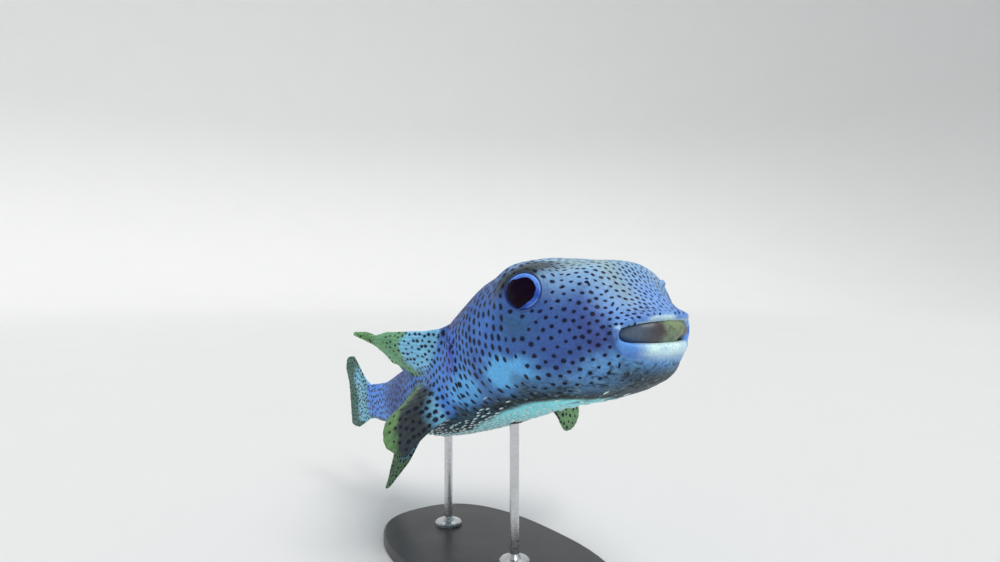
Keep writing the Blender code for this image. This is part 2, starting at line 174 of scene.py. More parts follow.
def formPoints(places, angles):
    # angle 0 is the fish's left side, 90 its back, 180 its right side, 270 its belly
    values = (v[:, None] for v in ringValues(places).T)
    behind, halfWidth, top, bottom, drawnBack, topBack, bottomBack, squareness = values
    across = np.cos(np.radians(angles))[None, :]
    height = np.sin(np.radians(angles))[None, :]
    power = 2.0 / squareness
    rise = body["mouthCornerRise"] * across**2 * drawnBack / 0.018
    x = -behind - drawnBack * across**2
    x = x - topBack * smooth(-0.1, 0.7, height) - bottomBack * smooth(0.15, -0.75, height)
    y = halfWidth * np.sign(across) * np.abs(across) ** power
    z = (top + bottom) / 2 + (top - bottom) / 2 * np.sign(height) * np.abs(height) ** power + rise
    points = np.stack([x, y, z], axis=-1)
    for back, out, up, lift, spread in body["swellings"]:
        sideways = np.copysign(out, across) + 0 * y
        centre = np.stack([np.full_like(y, -back), sideways, np.full_like(y, up)], axis=-1)
        far = np.linalg.norm(points - centre, axis=-1)
        grow = lift * np.exp(-((far / spread) ** 2))
        points[..., 1] += across * grow
        points[..., 2] += height * grow
    return points


def rowPlaces():
    # rows are spaced by the length of skin between them
    fine = np.linspace(0.0, ringPlaces[-1], 5000)
    reach = formPoints(fine, np.arange(0.0, 360.0, 30.0))
    moved = np.linalg.norm(np.diff(reach, axis=0), axis=-1).max(axis=1)
    behind = ringValues(fine)[:-1, 0]
    starts, steps = zip(*body["rowSteps"])
    step = np.interp(behind, starts, steps)
    count = np.concatenate([[0.0], np.cumsum(moved / step)])
    return np.interp(np.arange(0, int(count[-1]) + 1), count, fine)


# the eye's own plane: a across it, c up it, out along the way it looks

eye = {
    "behind": 0.0725, "out": 0.0597, "up": 0.0370,
    "faces": (0.45, 0.89, 0.02),
    "halfLength": 0.0162, "halfHeight": 0.0149, "halfDepth": 0.0088,
    "rimShare": 0.855,
}


def eyeFrame(side):
    out = Vector((eye["faces"][0], side * eye["faces"][1], eye["faces"][2])).normalized()
    ahead = Vector((1.0, 0.0, 0.0)) - out * out.x
    ahead.normalize()
    up = out.cross(ahead) * -side
    rim = Vector((-eye["behind"], side * eye["out"], eye["up"]))
    sunk = eye["halfDepth"] * math.sqrt(1 - eye["rimShare"] ** 2)
    return np.array(ahead), np.array(up), np.array(out), np.array(rim), np.array(rim - out * sunk)


def eyeReach(points, side):
    # 1 at the widest of the eyeball, and the angle round the eye from straight ahead
    ahead, up, out, rim, _ = eyeFrame(side)
    away = points - rim
    a = away @ ahead / eye["halfLength"]
    c = away @ up / eye["halfHeight"]
    reach = np.hypot(a, c)
    reach = np.where(np.abs(away @ out) > 0.030, 9.0, reach)
    return reach, np.arctan2(c, a)


lids = {
    "blendTo": 1.62,         # where the lids' own shape has died away into the cheek
    "rimHeight": 0.0007, "rimAt": 0.900, "rimWidth": 0.040,
    "folds": ((1.06, 0.00042, 0.035), (1.20, 0.00042, 0.045), (1.36, 0.00032, 0.050), (1.54, 0.00022, 0.060)),
}


def lidRelief(reach, turn):
    above = 0.5 + 0.5 * np.sin(turn)
    strength = 0.12 + 0.88 * above**1.5
    h = lids["rimHeight"] * bump(reach, lids["rimAt"], lids["rimWidth"])
    for at, height, width in lids["folds"]:
        wander = at + 0.035 * np.sin(3 * turn + at * 17)
        h = h + height * strength * bump(reach, wander, width)
    return h


# relief of the skin: lips, gill slit, folds and the soft unevenness of the flesh

relief = {
    # width of the lips from the mouth's edge, and at its corner: of their form, and of their colour
    "upperLip": 0.0058, "lowerLip": 0.0126, "lipCorner": 0.0062, "paleCorner": 0.0042,
    "lipSwell": 0.0004, "lipGroove": 0.00018, "cornerBump": 0.0010, "lipNotch": 0.0009,
    "gillAt": 0.1690, "gillDepth": 0.0036, "gillWidth": 0.0012, "gillEdge": 0.0016,
    "cornerFold": 0.0009,
    "flesh": 0.00045, "skinFolds": 0.00030,
}


def gillLine(z):
    # how far behind the lips the gill slit runs at a height
    return relief["gillAt"] + 0.010 * ((z - 0.004) / 0.034) ** 2


def lipWidthAt(phi, atCorner):
    # both lips change to one width towards the corner of the mouth
    corner = np.exp(-(phi / 16.0) ** 2)
    return np.where(phi > 0, relief["upperLip"], relief["lowerLip"]) * (1 - corner) + atCorner * corner


def skinRelief(points, arc, phi):
    behind = -points[..., 0]
    y, z = points[..., 1], points[..., 2]
    lipWidth = lipWidthAt(phi, relief["lipCorner"])
    onLip = (arc > 0) & (arc < 0.03)
    uneven = 1 + 0.45 * fieldNoise(points, 0.0075, 6)
    h = np.where(onLip, relief["lipSwell"] * uneven * np.sin(np.pi * np.clip(arc / lipWidth, 0, 1)), 0.0)
    h = h - np.where(onLip, relief["lipGroove"] * bump(arc, lipWidth, 0.0011), 0.0)
    for k in range(3):                            # folds that ring the corner of the mouth
        at = 0.0105 + 0.0042 * k
        h = h + relief["cornerFold"] * (0.8 - 0.2 * k) * np.exp(-(phi / 24.0) ** 2) * bump(arc, at, 0.0011)
    pad = np.exp(-((phi - 9.0) / 11.0) ** 2) * bump(arc, 0.0040, 0.0030) * (behind < 0.04)
    h = h + relief["cornerBump"] * pad
    notch = np.exp(-(y / 0.0016) ** 2) * (phi > 0) * bump(arc, 0.0015, 0.0030) * (arc > -0.004)
    h = h - relief["lipNotch"] * notch
    gill = gillLine(z)
    tall = smooth(0.036, 0.026, z) * smooth(-0.040, -0.030, z) * (np.abs(y) > 0.02)
    h = h - relief["gillDepth"] * tall * bump(behind, gill, relief["gillWidth"])
    h = h + relief["gillEdge"] * tall * bump(behind, gill - 0.0032, 0.0026)
    onBody = smooth(0.006, 0.030, behind)
    h = h + relief["flesh"] * onBody * (fieldNoise(points, 0.021, 3) + 0.5 * fieldNoise(points, 0.009, 4))
    drawnOut = points * np.array([0.32, 1.0, 1.0])
    low = smooth(-8.0, -45.0, phi) * onBody * smooth(0.30, 0.22, behind)
    creases = 1 - np.abs(fieldNoise(drawnOut, 0.0045, 9)) * 2.0
    h = h - relief["skinFolds"] * low * np.clip(creases, 0, 1) ** 2 * 1.6
    snout = smooth(0.0, 25.0, phi) * bump(arc, 0.0125, 0.0065)
    across = points * np.array([1.0, 1.0, 0.35])
    h = h - 0.00028 * snout * np.clip(1 - np.abs(fieldNoise(across, 0.0017, 12)) * 2.2, 0, 1)
    return h


# markings, as soft zones over the body: how far back, how high round the side, and how wide

def zone(behind, phi, at, height, wide, tall):
    return np.exp(-(((behind - at) / wide) ** 2 + ((phi - height) / tall) ** 2))


colours = {                         # linear colour of each tone of the skin
    "flank": (0.053, 0.126, 0.400),
    "shoulder": (0.096, 0.315, 0.870),
    "back": (0.072, 0.160, 0.430),
    "forehead": (0.260, 0.520, 0.880),
    "yellow": (0.380, 0.480, 0.360),
    "snout": (0.195, 0.400, 0.860),
    "wrinkleShade": (0.070, 0.085, 0.300),
    "palePatch": (0.150, 0.540, 1.000),
    "underEye": (0.038, 0.130, 0.270),
    "brow": (0.032, 0.047, 0.037),
    "corner": (0.056, 0.080, 0.270),
    "gill": (0.090, 0.125, 0.620),
    "mottleTop": (0.150, 0.400, 0.780), "mottleSide": (0.070, 0.180, 0.400),
    "mottle": (0.070, 0.155, 0.260),
    "mottleLowShaded": (0.036, 0.052, 0.052),
    "streaks": (0.024, 0.070, 0.098),
    "duskyShade": (0.024, 0.035, 0.034),
    "belly": (0.330, 0.930, 1.000),
    "lip": (0.135, 0.360, 0.860),
    # pale lip tone and painted highlight
    "lipPaleAndHighlight": (0.740, 1.000, 1.000),
    # painted shade inside the mouth
    "mouth": (0.030, 0.034, 0.050),
    "lidShade": (0.030, 0.030, 0.120),
    "tail": (0.105, 0.345, 0.980),
}


def paint(base, colour, amount):
    return base + (np.array(colour) - base) * np.clip(amount, 0, 1)[..., None]


def bodyTone(points, arc, phi):
    # the slow colour of the skin and how much it is mottled with brown
    behind = -points[..., 0]
    y = points[..., 1]
    wander = fieldNoise(points, 0.016, 21)
    fine = fieldNoise(points, 0.006, 22)
    drawn = fieldNoise(points * np.array([0.35, 1.0, 1.0]), 0.0052, 23)
    h = phi + 7.0 * wander + 3.5 * fine
    c = colours
    tone = np.broadcast_to(np.array(c["flank"]), points.shape).copy()
    tone = paint(tone, c["back"], smooth(25, 65, h))
    tone = paint(tone, c["shoulder"], 0.60 * zone(behind, h, 0.115, 2, 0.028, 24))
    tone = paint(tone, c["shoulder"], smooth(0.120, 0.165, behind + 0.012 * wander) * smooth(34, 6, h)
                 * smooth(0.34, 0.24, behind))
    tone = paint(tone, c["forehead"], smooth(22, 60, h) * smooth(0.125, 0.080, behind))
    tone = paint(tone, c["forehead"], 0.50 * smooth(5, 40, h) * smooth(0.070, 0.035, behind))
    tone = paint(tone, c["snout"], smooth(0.034, 0.012, behind + 0.004 * wander) * smooth(-25, 5, h))
    # a yellow-green tint over the top of the head; the small patch on top of the snout is a painted highlight
    yellow = zone(behind, phi, 0.058, 78, 0.034, 34) + 0.7 * zone(behind, phi, 0.025, 62, 0.012, 16)
    tone = paint(tone, c["yellow"], 0.65 * yellow * (0.75 + 0.45 * wander))
    # painted shade in the fine wrinkle grooves on the snout above the upper lip, along the creases that the
    # relief cuts there
    creaseShade = np.clip(1 - np.abs(fieldNoise(points * np.array([1.0, 1.0, 0.35]), 0.0017, 12)) * 2.6, 0, 1)
    creaseShade = creaseShade * smooth(0.2, 0.9, zone(arc, phi, 0.0125, 66, 0.0075, 26))
    tone = paint(tone, c["wrinkleShade"], 0.75 * creaseShade)
    tone = paint(tone, c["corner"], 0.88 * zone(behind, phi, 0.030, -8, 0.013, 26) * (0.8 + 0.4 * fine))
    tone = paint(tone, c["underEye"], 0.85 * zone(behind, phi, 0.080, 4, 0.015, 8))
    tone = paint(tone, c["gill"], 0.95 * zone(behind, phi, 0.174, 4, 0.0110, 26) * (0.90 + 0.3 * fine))
    patch = 0.14 * wander + 0.16 * drawn
    pale = smooth(0.16, 0.80, zone(behind, phi + 5 * fine, 0.102, -26, 0.034, 19) + patch)
    pale = np.maximum(pale, 0.9 * smooth(0.16, 0.80, zone(behind, phi, 0.165, -26, 0.032, 22) + patch))
    tone = paint(tone, c["palePatch"], pale)
    tone = paint(tone, c["tail"], smooth(0.34, 0.42, behind))
    top = np.interp(behind, [0.0, 0.02, 0.035, 0.07, 0.12, 0.17, 0.25, 0.34],
                    [-8, -14, -26, -31, -39, -39, -34, -45])
    low = np.interp(behind, [0.0, 0.050, 0.065, 0.08, 0.12, 0.17, 0.22, 0.30],
                    [-80, -80, -73, -63, -58, -62, -70, -68])
    mottle = smooth(top + 11, top - 9, h) * smooth(0.0118, 0.0160, arc)
    down = np.minimum(top - h, (arc - 0.013) * 3200)         # measured from the lip on the front of the chin
    slow = smooth(0.10, 0.02, behind)                       # the chin darkens more slowly
    # the mottling darkens downwards over the chin and lower cheek: partly dusky pigment, partly painted shade
    # on the underside
    brown = paint(np.broadcast_to(np.array(c["mottleTop"]), points.shape), c["mottleSide"], 1 - slow)
    brown = paint(brown, c["mottle"], smooth(6 * slow, 12 + 26 * slow, down))
    brown = paint(brown, c["mottleLowShaded"], smooth(10 + 20 * slow, 26 + 34 * slow, down))
    tone = tone + (brown - tone) * (0.94 * mottle)[..., None]
    # a dark band low along the side, just above the white belly: partly dusky pigment, partly painted shade
    # where the side turns under
    edge = bump(h, low + 6, 10) * smooth(0.035, 0.075, behind) * smooth(0.175, 0.150, behind)
    tone = paint(tone, c["duskyShade"], 0.94 * edge)
    streaky = smooth(0.140, 0.180, behind) * smooth(0.34, 0.27, behind) * mottle
    tone = paint(tone, c["streaks"], 0.88 * streaky)
    belly = smooth(low + 3, low - 5, phi + 2.5 * wander)
    belly = belly * smooth(0.052, 0.082, behind + 0.024 * wander + 0.010 * drawn)
    tone = paint(tone, c["belly"], belly)
    lipWidth = lipWidthAt(phi, relief["paleCorner"]) + relief["paleCorner"] * bump(phi, 12.0, 7.0)
    soft = np.where(phi > 0, 0.22, 0.45) * lipWidth
    onLip = smooth(lipWidth + soft, lipWidth - soft, arc + 0.0012 * fine + 0.0010 * wander)
    tone = paint(tone, c["lip"], onLip)
    tone = paint(tone, c["snout"], 0.6 * onLip * smooth(5, 25, phi))
    # pale lips with a painted highlight: whitest across the front of the lips, the upper one off to the right
    # where the light falls, on the pads at the corners and along the upper lip's edge
    paleAndHighlight = np.where(phi > 0, smooth(0.014, 0.007, np.abs(y + 0.007)), smooth(0.027, 0.014, np.abs(y)))
    paleAndHighlight = np.maximum(paleAndHighlight, 0.62 * np.exp(-((phi - 12.0) / 7.0) ** 2))
    paleAndHighlight = np.maximum(paleAndHighlight, 0.75 * smooth(0.0034, 0.0014, arc) * smooth(4, 14, phi))
    tone = paint(tone, c["lipPaleAndHighlight"], onLip * paleAndHighlight * (0.88 + 0.25 * fine))
    # painted shade just inside the mouth, where the lips turn in
    tone = paint(tone, c["mouth"], smooth(0.0006, -0.0010, arc))
    # painted shade in the gill slit's groove
    gillSlitShade = bump(behind, gillLine(points[..., 2]), 0.0017) * smooth(0.036, 0.026, points[..., 2])
    gillSlitShade = gillSlitShade * smooth(-0.040, -0.030, points[..., 2]) * (np.abs(y) > 0.02)
    tone = paint(tone, c["duskyShade"], 0.55 * gillSlitShade)
    for side in (1, -1):
        reach, turn = eyeReach(points, side)
        above = smooth(-0.20, 0.60, np.sin(turn - 0.10))
        brow = smooth(0.05, 0.75, np.sin(turn - 0.28)) * smooth(0.86, 0.92, reach)
        brow = brow * smooth(2.35, 1.45, reach + 0.16 * fine + 0.10 * wander)
        tone = paint(tone, c["brow"], brow * (0.86 + 0.12 * smooth(1.6, 1.2, reach)))
        # painted shade in the groove round the eyeball, heaviest on top under the brow
        grooveShade = smooth(0.945, 0.880, reach) * (y * side > 0)
        tone = paint(tone, c["lidShade"], (0.30 + 0.45 * above) * grooveShade)
        # painted shade just outside each lid fold and a painted highlight on each fold's crest, both
        # strongest on top where the light falls
        ridges = [at + 0.035 * np.sin(3 * turn + at * 17) for at, _, _ in lids["folds"]]
        tone = paint(tone, c["lidShade"], 0.30 * sum(bump(reach, at + 0.065, 0.028) for at in ridges)
                     * (0.35 + 0.65 * above))
        crestHighlight = sum(bump(reach, at, 0.020) for at in ridges) * (0.25 + 0.75 * above) * (1 - 0.9 * brow)
        tone = paint(tone, c["snout"], 0.22 * crestHighlight)
    mottle = mottle * (1 - belly) * (1 - 0.55 * streaky) * (0.25 + 0.75 * smooth(0, 14 + 8 * slow, down))
    return tone, mottle, onLip


# the body skin: a fine grid over the form, with a ring-shaped patch round each eye

class SkinMesh:
    # gathers the points and faces of every part of the one skin
    def __init__(self):
        self.points, self.faces, self.uvs = [], [], []
        self.tone, self.mottle, self.smoothSkin = [], [], []
        self.count = 0

    def add(self, points, faces, uvs, tone, mottle, smoothSkin):
        # faces hold indices into points, and uvs one pair for each corner of each face
        self.points.append(points)
        self.faces.append(faces + self.count)
        self.uvs.append(uvs)
        self.tone.append(tone)
        self.mottle.append(mottle)
        self.smoothSkin.append(smoothSkin)
        self.count += len(points)


def gridNormals(points):
    along = np.gradient(points, axis=0)
    around = np.roll(points, -1, axis=1) - np.roll(points, 1, axis=1)
    return unit(np.cross(around, along))


def buildBodyGrid():
    places = rowPlaces()
    columns = body["columns"]
    angles = -90.0 + 360.0 * np.arange(columns) / columns      # starts and ends along the belly
    form = formPoints(places, angles)
    normals = gridNormals(form)
    middle = form.mean(axis=1, keepdims=True)
    outwards = np.sign(((form - middle) * normals).sum(axis=-1)[len(places) // 2].mean())
    normals = normals * outwards
    steps = np.linalg.norm(np.diff(form, axis=0), axis=-1)
    travel = np.concatenate([np.zeros((1, columns)), np.cumsum(steps, axis=0)])
    mouthRow = int(np.searchsorted(places, mouthPlace))
    arc = travel - travel[mouthRow]
    phi = np.degrees(np.arcsin(np.clip(np.sin(np.radians(angles)), -1, 1)))[None, :] + 0 * arc
    inset = body["coatDepth"] * smooth(0.004, 0.016, arc) + 0.0002
    lift = skinRelief(form, arc, phi) - inset
    for side in (1, -1):
        reach, turn = eyeReach(form, side)
        lift = lift + np.where(form[..., 1] * side > 0, lidRelief(reach, turn), 0.0) * (arc > 0.02)
    points = form + normals * lift[..., None]
    return {"form": form, "points": points, "arc": arc, "phi": phi}


def gridFaces(rows, columns):
    i, j = np.meshgrid(np.arange(rows - 1), np.arange(columns), indexing="ij")
    near, far, k = i * columns, (i + 1) * columns, (j + 1) % columns
    return np.stack([near + j, far + j, far + k, near + k], axis=-1).reshape(-1, 4)


def fanOver(ring, tip):
    # closes a ring of points with faces that meet at the tip
    return np.stack([ring[::2], ring[1::2], np.roll(ring, -2)[::2], np.full(len(ring) // 2, tip)], axis=-1)


def tubeFaces(rows, columns):
    # a tube closed at both ends; the ends' middle points come after all its rings
    ring = np.arange(columns)
    return np.concatenate([gridFaces(rows, columns), fanOver(ring, rows * columns),
                           fanOver((rows - 1) * columns + ring, rows * columns + 1)[:, ::-1]])


def facesLookOut(points, faces, middle):
    # whether the faces look away from a point in their middle
    a, b, c, d = (points[faces[:, k]] - middle for k in range(4))
    return (np.cross(c - a, d - b) * (a + b + c + d)).sum() > 0


def gridUv(along, around, first):
    # one pair for each corner of each face; first says which of the pair runs along the rows
    corners = np.zeros((len(along) - 1, len(around) - 1, 4, 2))
    corners[..., 0, first] = corners[..., 3, first] = along[:-1, None]
    corners[..., 1, first] = corners[..., 2, first] = along[1:, None]
    corners[..., 0, 1 - first] = corners[..., 1, 1 - first] = around[None, :-1]
    corners[..., 2, 1 - first] = corners[..., 3, 1 - first] = around[None, 1:]
    return corners.reshape(-1, 4, 2)


unwrap = {"bodyTall": 0.70, "margin": 0.004}      # the body's share of the unwrap; fins fill the rest


def bodyUv(rows, columns):
    u = unwrap["margin"] + (1 - 2 * unwrap["margin"]) * np.arange(rows) / (rows - 1)
    v = unwrap["margin"] + (unwrap["bodyTall"] - 2 * unwrap["margin"]) * np.arange(columns + 1) / columns
    return gridUv(u, v, 0)


def boundaryLoop(faces):
    # the closed chain of points round a patch of faces, in order
    following = {}
    edges = set()
    for face in faces:
        for k in range(4):
            edges.add((face[k], face[(k + 1) % 4]))
    for start, end in edges:
        if (end, start) not in edges:
            following[start] = end
    chain = [next(iter(sorted(following)))]
    while following[chain[-1]] != chain[0]:
        chain.append(following[chain[-1]])
    return chain


def eyePatch(form, side, faces, tree, triangleUvs):
    # lids and socket: rings from the cheek in to the eyeball, then under it
    ahead, up, out, rim, centre = eyeFrame(side)
    reach, _ = eyeReach(form, side)
    reach = np.where(form[:, 1] * side > 0, reach, 9.0)
    inside = (reach[faces] < lids["blendTo"]).all(axis=1)
    chain = boundaryLoop(faces[inside].tolist())
    startReach, turn = eyeReach(form[chain], side)
    share = np.linspace(0, 1, 30)[1:]
    rings = [startReach + (eye["rimShare"] - startReach) * s for s in share]
    rings += [np.full(len(chain), eye["rimShare"] * s) for s in (0.985, 0.95, 0.90, 0.82, 0.72)]
    ringPoints, ringUvs = [], []
    for k, ring in enumerate(rings):
        a = np.cos(turn) * ring * eye["halfLength"]
        c = np.sin(turn) * ring * eye["halfHeight"]
        plane = rim + a[:, None] * ahead + c[:, None] * up
        onBody, normals, ringUv = [], [], []
        for p in plane:
            hit, normal, index, _ = tree.ray_cast(Vector(p + out * 0.03), Vector(-out))
            corners, cornerUvs = triangleUvs(index)
            place = barycentric_transform(hit, *corners, *cornerUvs)
            onBody.append(hit)
            normals.append(normal)
            ringUv.append((place.x, place.y))
        onBody, normals = np.array(onBody), np.array(normals)
        toPlane = smooth(lids["blendTo"], eye["rimShare"] + 0.06, ring)[:, None]
        bulge = eye["halfDepth"] * np.sqrt(np.clip(1 - ring**2, 0, 1))
        ball = centre + (plane - rim) + out * bulge[:, None]
        point = onBody * (1 - toPlane) + plane * toPlane
        way = unit(normals * (1 - toPlane) + out * toPlane)
        lift = lidRelief(ring, turn) - body["coatDepth"] * (1 - toPlane[:, 0])
        point = point + way * lift[:, None]
        if k >= len(share) - 1:
            under = 0.0004 if k == len(share) - 1 else 0.0012
            point = np.where((ring >= eye["rimShare"] - 0.002)[:, None], point, ball - out * under)
        ringPoints.append(point)
        ringUvs.append(ringUv)
    return chain, inside, np.array(ringPoints), np.array(ringUvs)


def heightAngle(v):
    # how high round the body a place on the unwrap is, in degrees above its side
    share = (v - unwrap["margin"]) / (unwrap["bodyTall"] - 2 * unwrap["margin"])
    return np.degrees(np.arcsin(np.clip(np.sin(np.radians(360.0 * share - 90.0)), -1, 1)))


def buildBody(skin):
    grid = buildBodyGrid()
    rows, columns = grid["arc"].shape
    faces = gridFaces(rows, columns)
    uvs = bodyUv(rows, columns)
    form = grid["form"].reshape(-1, 3)
    corners, cornerUvs = inTriangles(faces), inTriangles(uvs)
    formTree = BVHTree.FromPolygons(form.tolist(), corners.tolist())

    def triangleUvs(index):
        a = [Vector(form[k]) for k in corners[index]]
        b = [Vector((u, v, 0.0)) for u, v in cornerUvs[index]]
        return a, b

    points = [grid["points"].reshape(-1, 3)]
    arc, phi = [grid["arc"].reshape(-1)], [grid["phi"].reshape(-1)]
    keep = np.ones(len(faces), bool)
    patchFaces, patchUvs = [], []
    first = len(points[0])
    for side in (1, -1):
        chain, inside, rings, ringUvs = eyePatch(form, side, faces, formTree, triangleUvs)
        keep &= ~inside
        n = len(chain)
        chainUv = {}
        for f in np.flatnonzero(inside):
            for k in range(4):
                chainUv[faces[f, k]] = uvs[f, k]
        ids = np.concatenate([[chain], first + np.arange(len(rings) * n).reshape(len(rings), n)])
        allUvs = np.concatenate([[np.array([chainUv[v] for v in chain])], ringUvs])
        near, far = np.arange(n), (np.arange(n) + 1) % n
        for k in range(len(rings)):
            for gathered, source in ((patchFaces, ids), (patchUvs, allUvs)):
                outer, inner = source[k], source[k + 1]
                gathered.append(np.stack([outer[near], outer[far], inner[far], inner[near]], axis=1))
        points.append(rings.reshape(-1, 3))
        arc.append(np.full(len(rings) * n, 0.08))
        phi.append(heightAngle(ringUvs[..., 1]).reshape(-1))
        first += len(rings) * n
    faces = np.concatenate([faces[keep]] + patchFaces)
    uvs = np.concatenate([uvs[keep]] + patchUvs)
    for row, u in ((0, 0.001), (rows - 1, 0.999)):         # the throat and the tail's end are closed
        ring = row * columns + np.arange(columns)
        points.append(grid["points"][row].mean(axis=0)[None])
        arc.append(grid["arc"][row, :1])
        phi.append(np.zeros(1))
        fan = fanOver(ring, first)
        faces = np.concatenate([faces, fan[:, ::-1] if row else fan])
        uvs = np.concatenate([uvs, np.broadcast_to([u, unwrap["bodyTall"] / 2], (len(fan), 4, 2))])
        first += 1
    points, arc, phi = np.concatenate(points), np.concatenate(arc), np.concatenate(phi)
    tone, mottle, onLip = bodyTone(points, arc, phi)
    skin.add(points, faces, uvs, tone, mottle, onLip)
    tree = BVHTree.FromPolygons(points.tolist(), inTriangles(faces).tolist())
    return {"points": points, "faces": faces, "uvs": uvs, "values": np.stack([arc, phi], axis=-1),
            "tone": tone, "mottle": mottle, "tree": tree, "nearest": pointTree(points)}


# fins: a membrane over its rays, fleshy at the root, that flares into the body

sink = 0.006                       # a fin starts this deep inside the body


def placeBehind(behind):
    fine = np.linspace(mouthPlace, ringPlaces[-1], 4000)
    values = ringValues(fine)
    start = int(np.argmin(values[:, 0]))
    return float(np.interp(behind, values[start:, 0], fine[start:]))


def midline(behinds, column, by):
    return [(-b, 0.0, float(ringValues(placeBehind(b))[0, column]) + by) for b in behinds]


pectoralRoot = ((-0.195, 0.0620 - sink, 0.0335), (-0.204, 0.0595 - sink, 0.0010),
                (-0.216, 0.0535 - sink, -0.0345))
fins = {
    # root and reach run from the first ray to the last; reach is how far a tip lies from its root
    "pectoralRight": {
        "side": -1, "rays": 22, "root": pectoralRoot, "bow": (0.0, 0.003, 0.0),
        "reach": ((-0.0725, 0.0142, 0.0157), (-0.0830, 0.0220, 0.0205), (-0.0820, 0.0175, 0.0180),
                  (-0.0777, 0.0028, 0.0108), (-0.0680, -0.0090, 0.0010), (-0.0619, 0.0068, -0.0085),
                  (-0.0684, 0.0262, -0.0153), (-0.0633, 0.0309, -0.0270), (-0.0451, 0.0209, -0.0293)),
        "rootThick": 0.0046, "flare": 0.0090, "blend": 0.005, "uvBox": (0.005, 0.71, 0.235, 0.99),
        "inner": (0.280, 0.700, 1.000), "innerShaded": (0.043, 0.060, 0.066), "lowFrom": 0.50,
        "outer": (0.172, 0.420, 0.215), "outerShaded": (0.175, 0.345, 0.125),
        "outerFrom": (0.55, 0.56, 0.61, 0.66, 0.68, 0.74, 0.72, 0.80, 1.10),
        "spotTo": (0.80, 0.86), "spotSpacing": (0.0046, 0.0060), "spotSize": (0.00150, 0.00205),
        "spotFade": 0.32},
    "pectoralLeft": {
        "side": 1, "rays": 22, "root": pectoralRoot, "bow": (0.0, 0.004, 0.0),
        "reach": ((-0.0520, 0.0480, 0.0200), (-0.0560, 0.0600, 0.0180), (-0.0520, 0.0650, 0.0080),
                  (-0.0470, 0.0680, -0.0080), (-0.0385, 0.0695, -0.0270), (-0.0317, 0.0672, -0.0410),
                  (-0.0310, 0.0595, -0.0455), (-0.0268, 0.0470, -0.0385), (-0.0155, 0.0420, -0.0150)),
        "rootThick": 0.0046, "flare": 0.0090, "blend": 0.005, "uvBox": (0.245, 0.71, 0.475, 0.99),
        "inner": (0.280, 0.720, 1.000), "innerShaded": (0.065, 0.100, 0.100), "lowFrom": 0.40,
        "outer": (0.172, 0.420, 0.200), "outerShaded": (0.165, 0.340, 0.150),
        "outerFrom": (0.60, 0.64, 0.66, 0.66, 0.60, 0.52, 0.48, 0.52, 0.70),
        "spotTo": (0.84, 0.93), "spotSpacing": (0.0046, 0.0052), "spotSize": (0.00150, 0.00220),
        "spotFade": 0.32},
    "dorsal": {
        "side": 1, "rays": 15, "root": midline((0.3280, 0.3490, 0.3700), 2, -sink), "bow": (0.0, 0.0, 0.003),
        "reach": ((-0.0800, -0.0260, 0.0530), (-0.0970, -0.0270, 0.0595), (-0.0970, -0.0285, 0.0595),
                  (-0.0800, -0.0295, 0.0550), (-0.0570, -0.0250, 0.0475), (-0.0363, -0.0170, 0.0360),
                  (-0.0190, -0.0060, 0.0180)),
        "rootThick": 0.0040, "flare": 0.0055, "blend": 0.008, "uvBox": (0.485, 0.71, 0.645, 0.99),
        "inner": (0.200, 0.400, 0.300), "outer": (0.315, 0.620, 0.280), "outerFrom": (0.45, 0.45),
        "spotTo": (0.92, 0.92), "spotSpacing": (0.0044, 0.0044), "spotSize": (0.00150, 0.00150),
        "spotFade": 0.25},
    "anal": {
        "side": 1, "rays": 15, "root": midline((0.3450, 0.3655, 0.3860), 3, sink), "bow": (0.0, 0.0, -0.003),
        "reach": ((-0.0547, -0.0010, -0.0367), (-0.0725, -0.0075, -0.0567), (-0.0766, -0.0103, -0.0618),
                  (-0.0680, -0.0100, -0.0569), (-0.0545, -0.0087, -0.0479), (-0.0401, -0.0060, -0.0366),
                  (-0.0300, -0.0033, -0.0223)),
        "rootThick": 0.0040, "flare": 0.0055, "blend": 0.008, "uvBox": (0.655, 0.71, 0.815, 0.99),
        "inner": (0.115, 0.260, 0.350), "outer": (0.120, 0.225, 0.115), "outerFrom": (0.50, 0.50),
        "spotTo": (0.92, 0.92), "spotSpacing": (0.0041, 0.0041), "spotSize": (0.00150, 0.00150),
        "spotFade": 0.20},
    "caudal": {
        "side": 1, "rays": 10, "bow": (0.0, 0.0, 0.0),
        "root": ((-0.4700, 0.0, 0.0180), (-0.4700, 0.0, 0.0010), (-0.4700, 0.0, -0.0155)),
        "reach": ((-0.0380, -0.0010, 0.0455), (-0.0552, -0.0014, 0.0508), (-0.0657, -0.0012, 0.0426),
                  (-0.0663, -0.0001, 0.0306), (-0.0655, 0.0005, 0.0184), (-0.0651, 0.0003, 0.0097),
                  (-0.0667, -0.0007, 0.0013), (-0.0648, -0.0010, -0.0074), (-0.0443, -0.0001, -0.0093)),
        "rootThick": 0.0048, "flare": 0.0060, "blend": 0.006, "uvBox": (0.825, 0.71, 0.970, 0.99),
        "inner": (0.300, 0.680, 0.850), "outer": (0.092, 0.225, 0.165), "outerShaded": (0.084, 0.205, 0.165),
        "outerFrom": (0.64, 0.64),
        "spotTo": (0.99, 0.99), "spotSpacing": (0.0042, 0.0042), "spotSize": (0.00145, 0.00145),
        "spotFade": 0.05},
}
for fin in fins.values():                       # a plain fin has the same colours from end to end
    fin.setdefault("innerShaded", fin["inner"])
    fin.setdefault("outerShaded", fin["outer"])
    fin.setdefault("lowFrom", 0.5)
membrane = {"edge": 0.0008, "perRay": 7, "rows": 64, "capSteps": 6, "scallop": 0.009, "ripple": 0.0007}


def curveThrough(values, share):
    places = np.linspace(0.0, 1.0, len(values))
    return curveValues(np.array(values), places, np.gradient(np.array(values), places, axis=0), share)


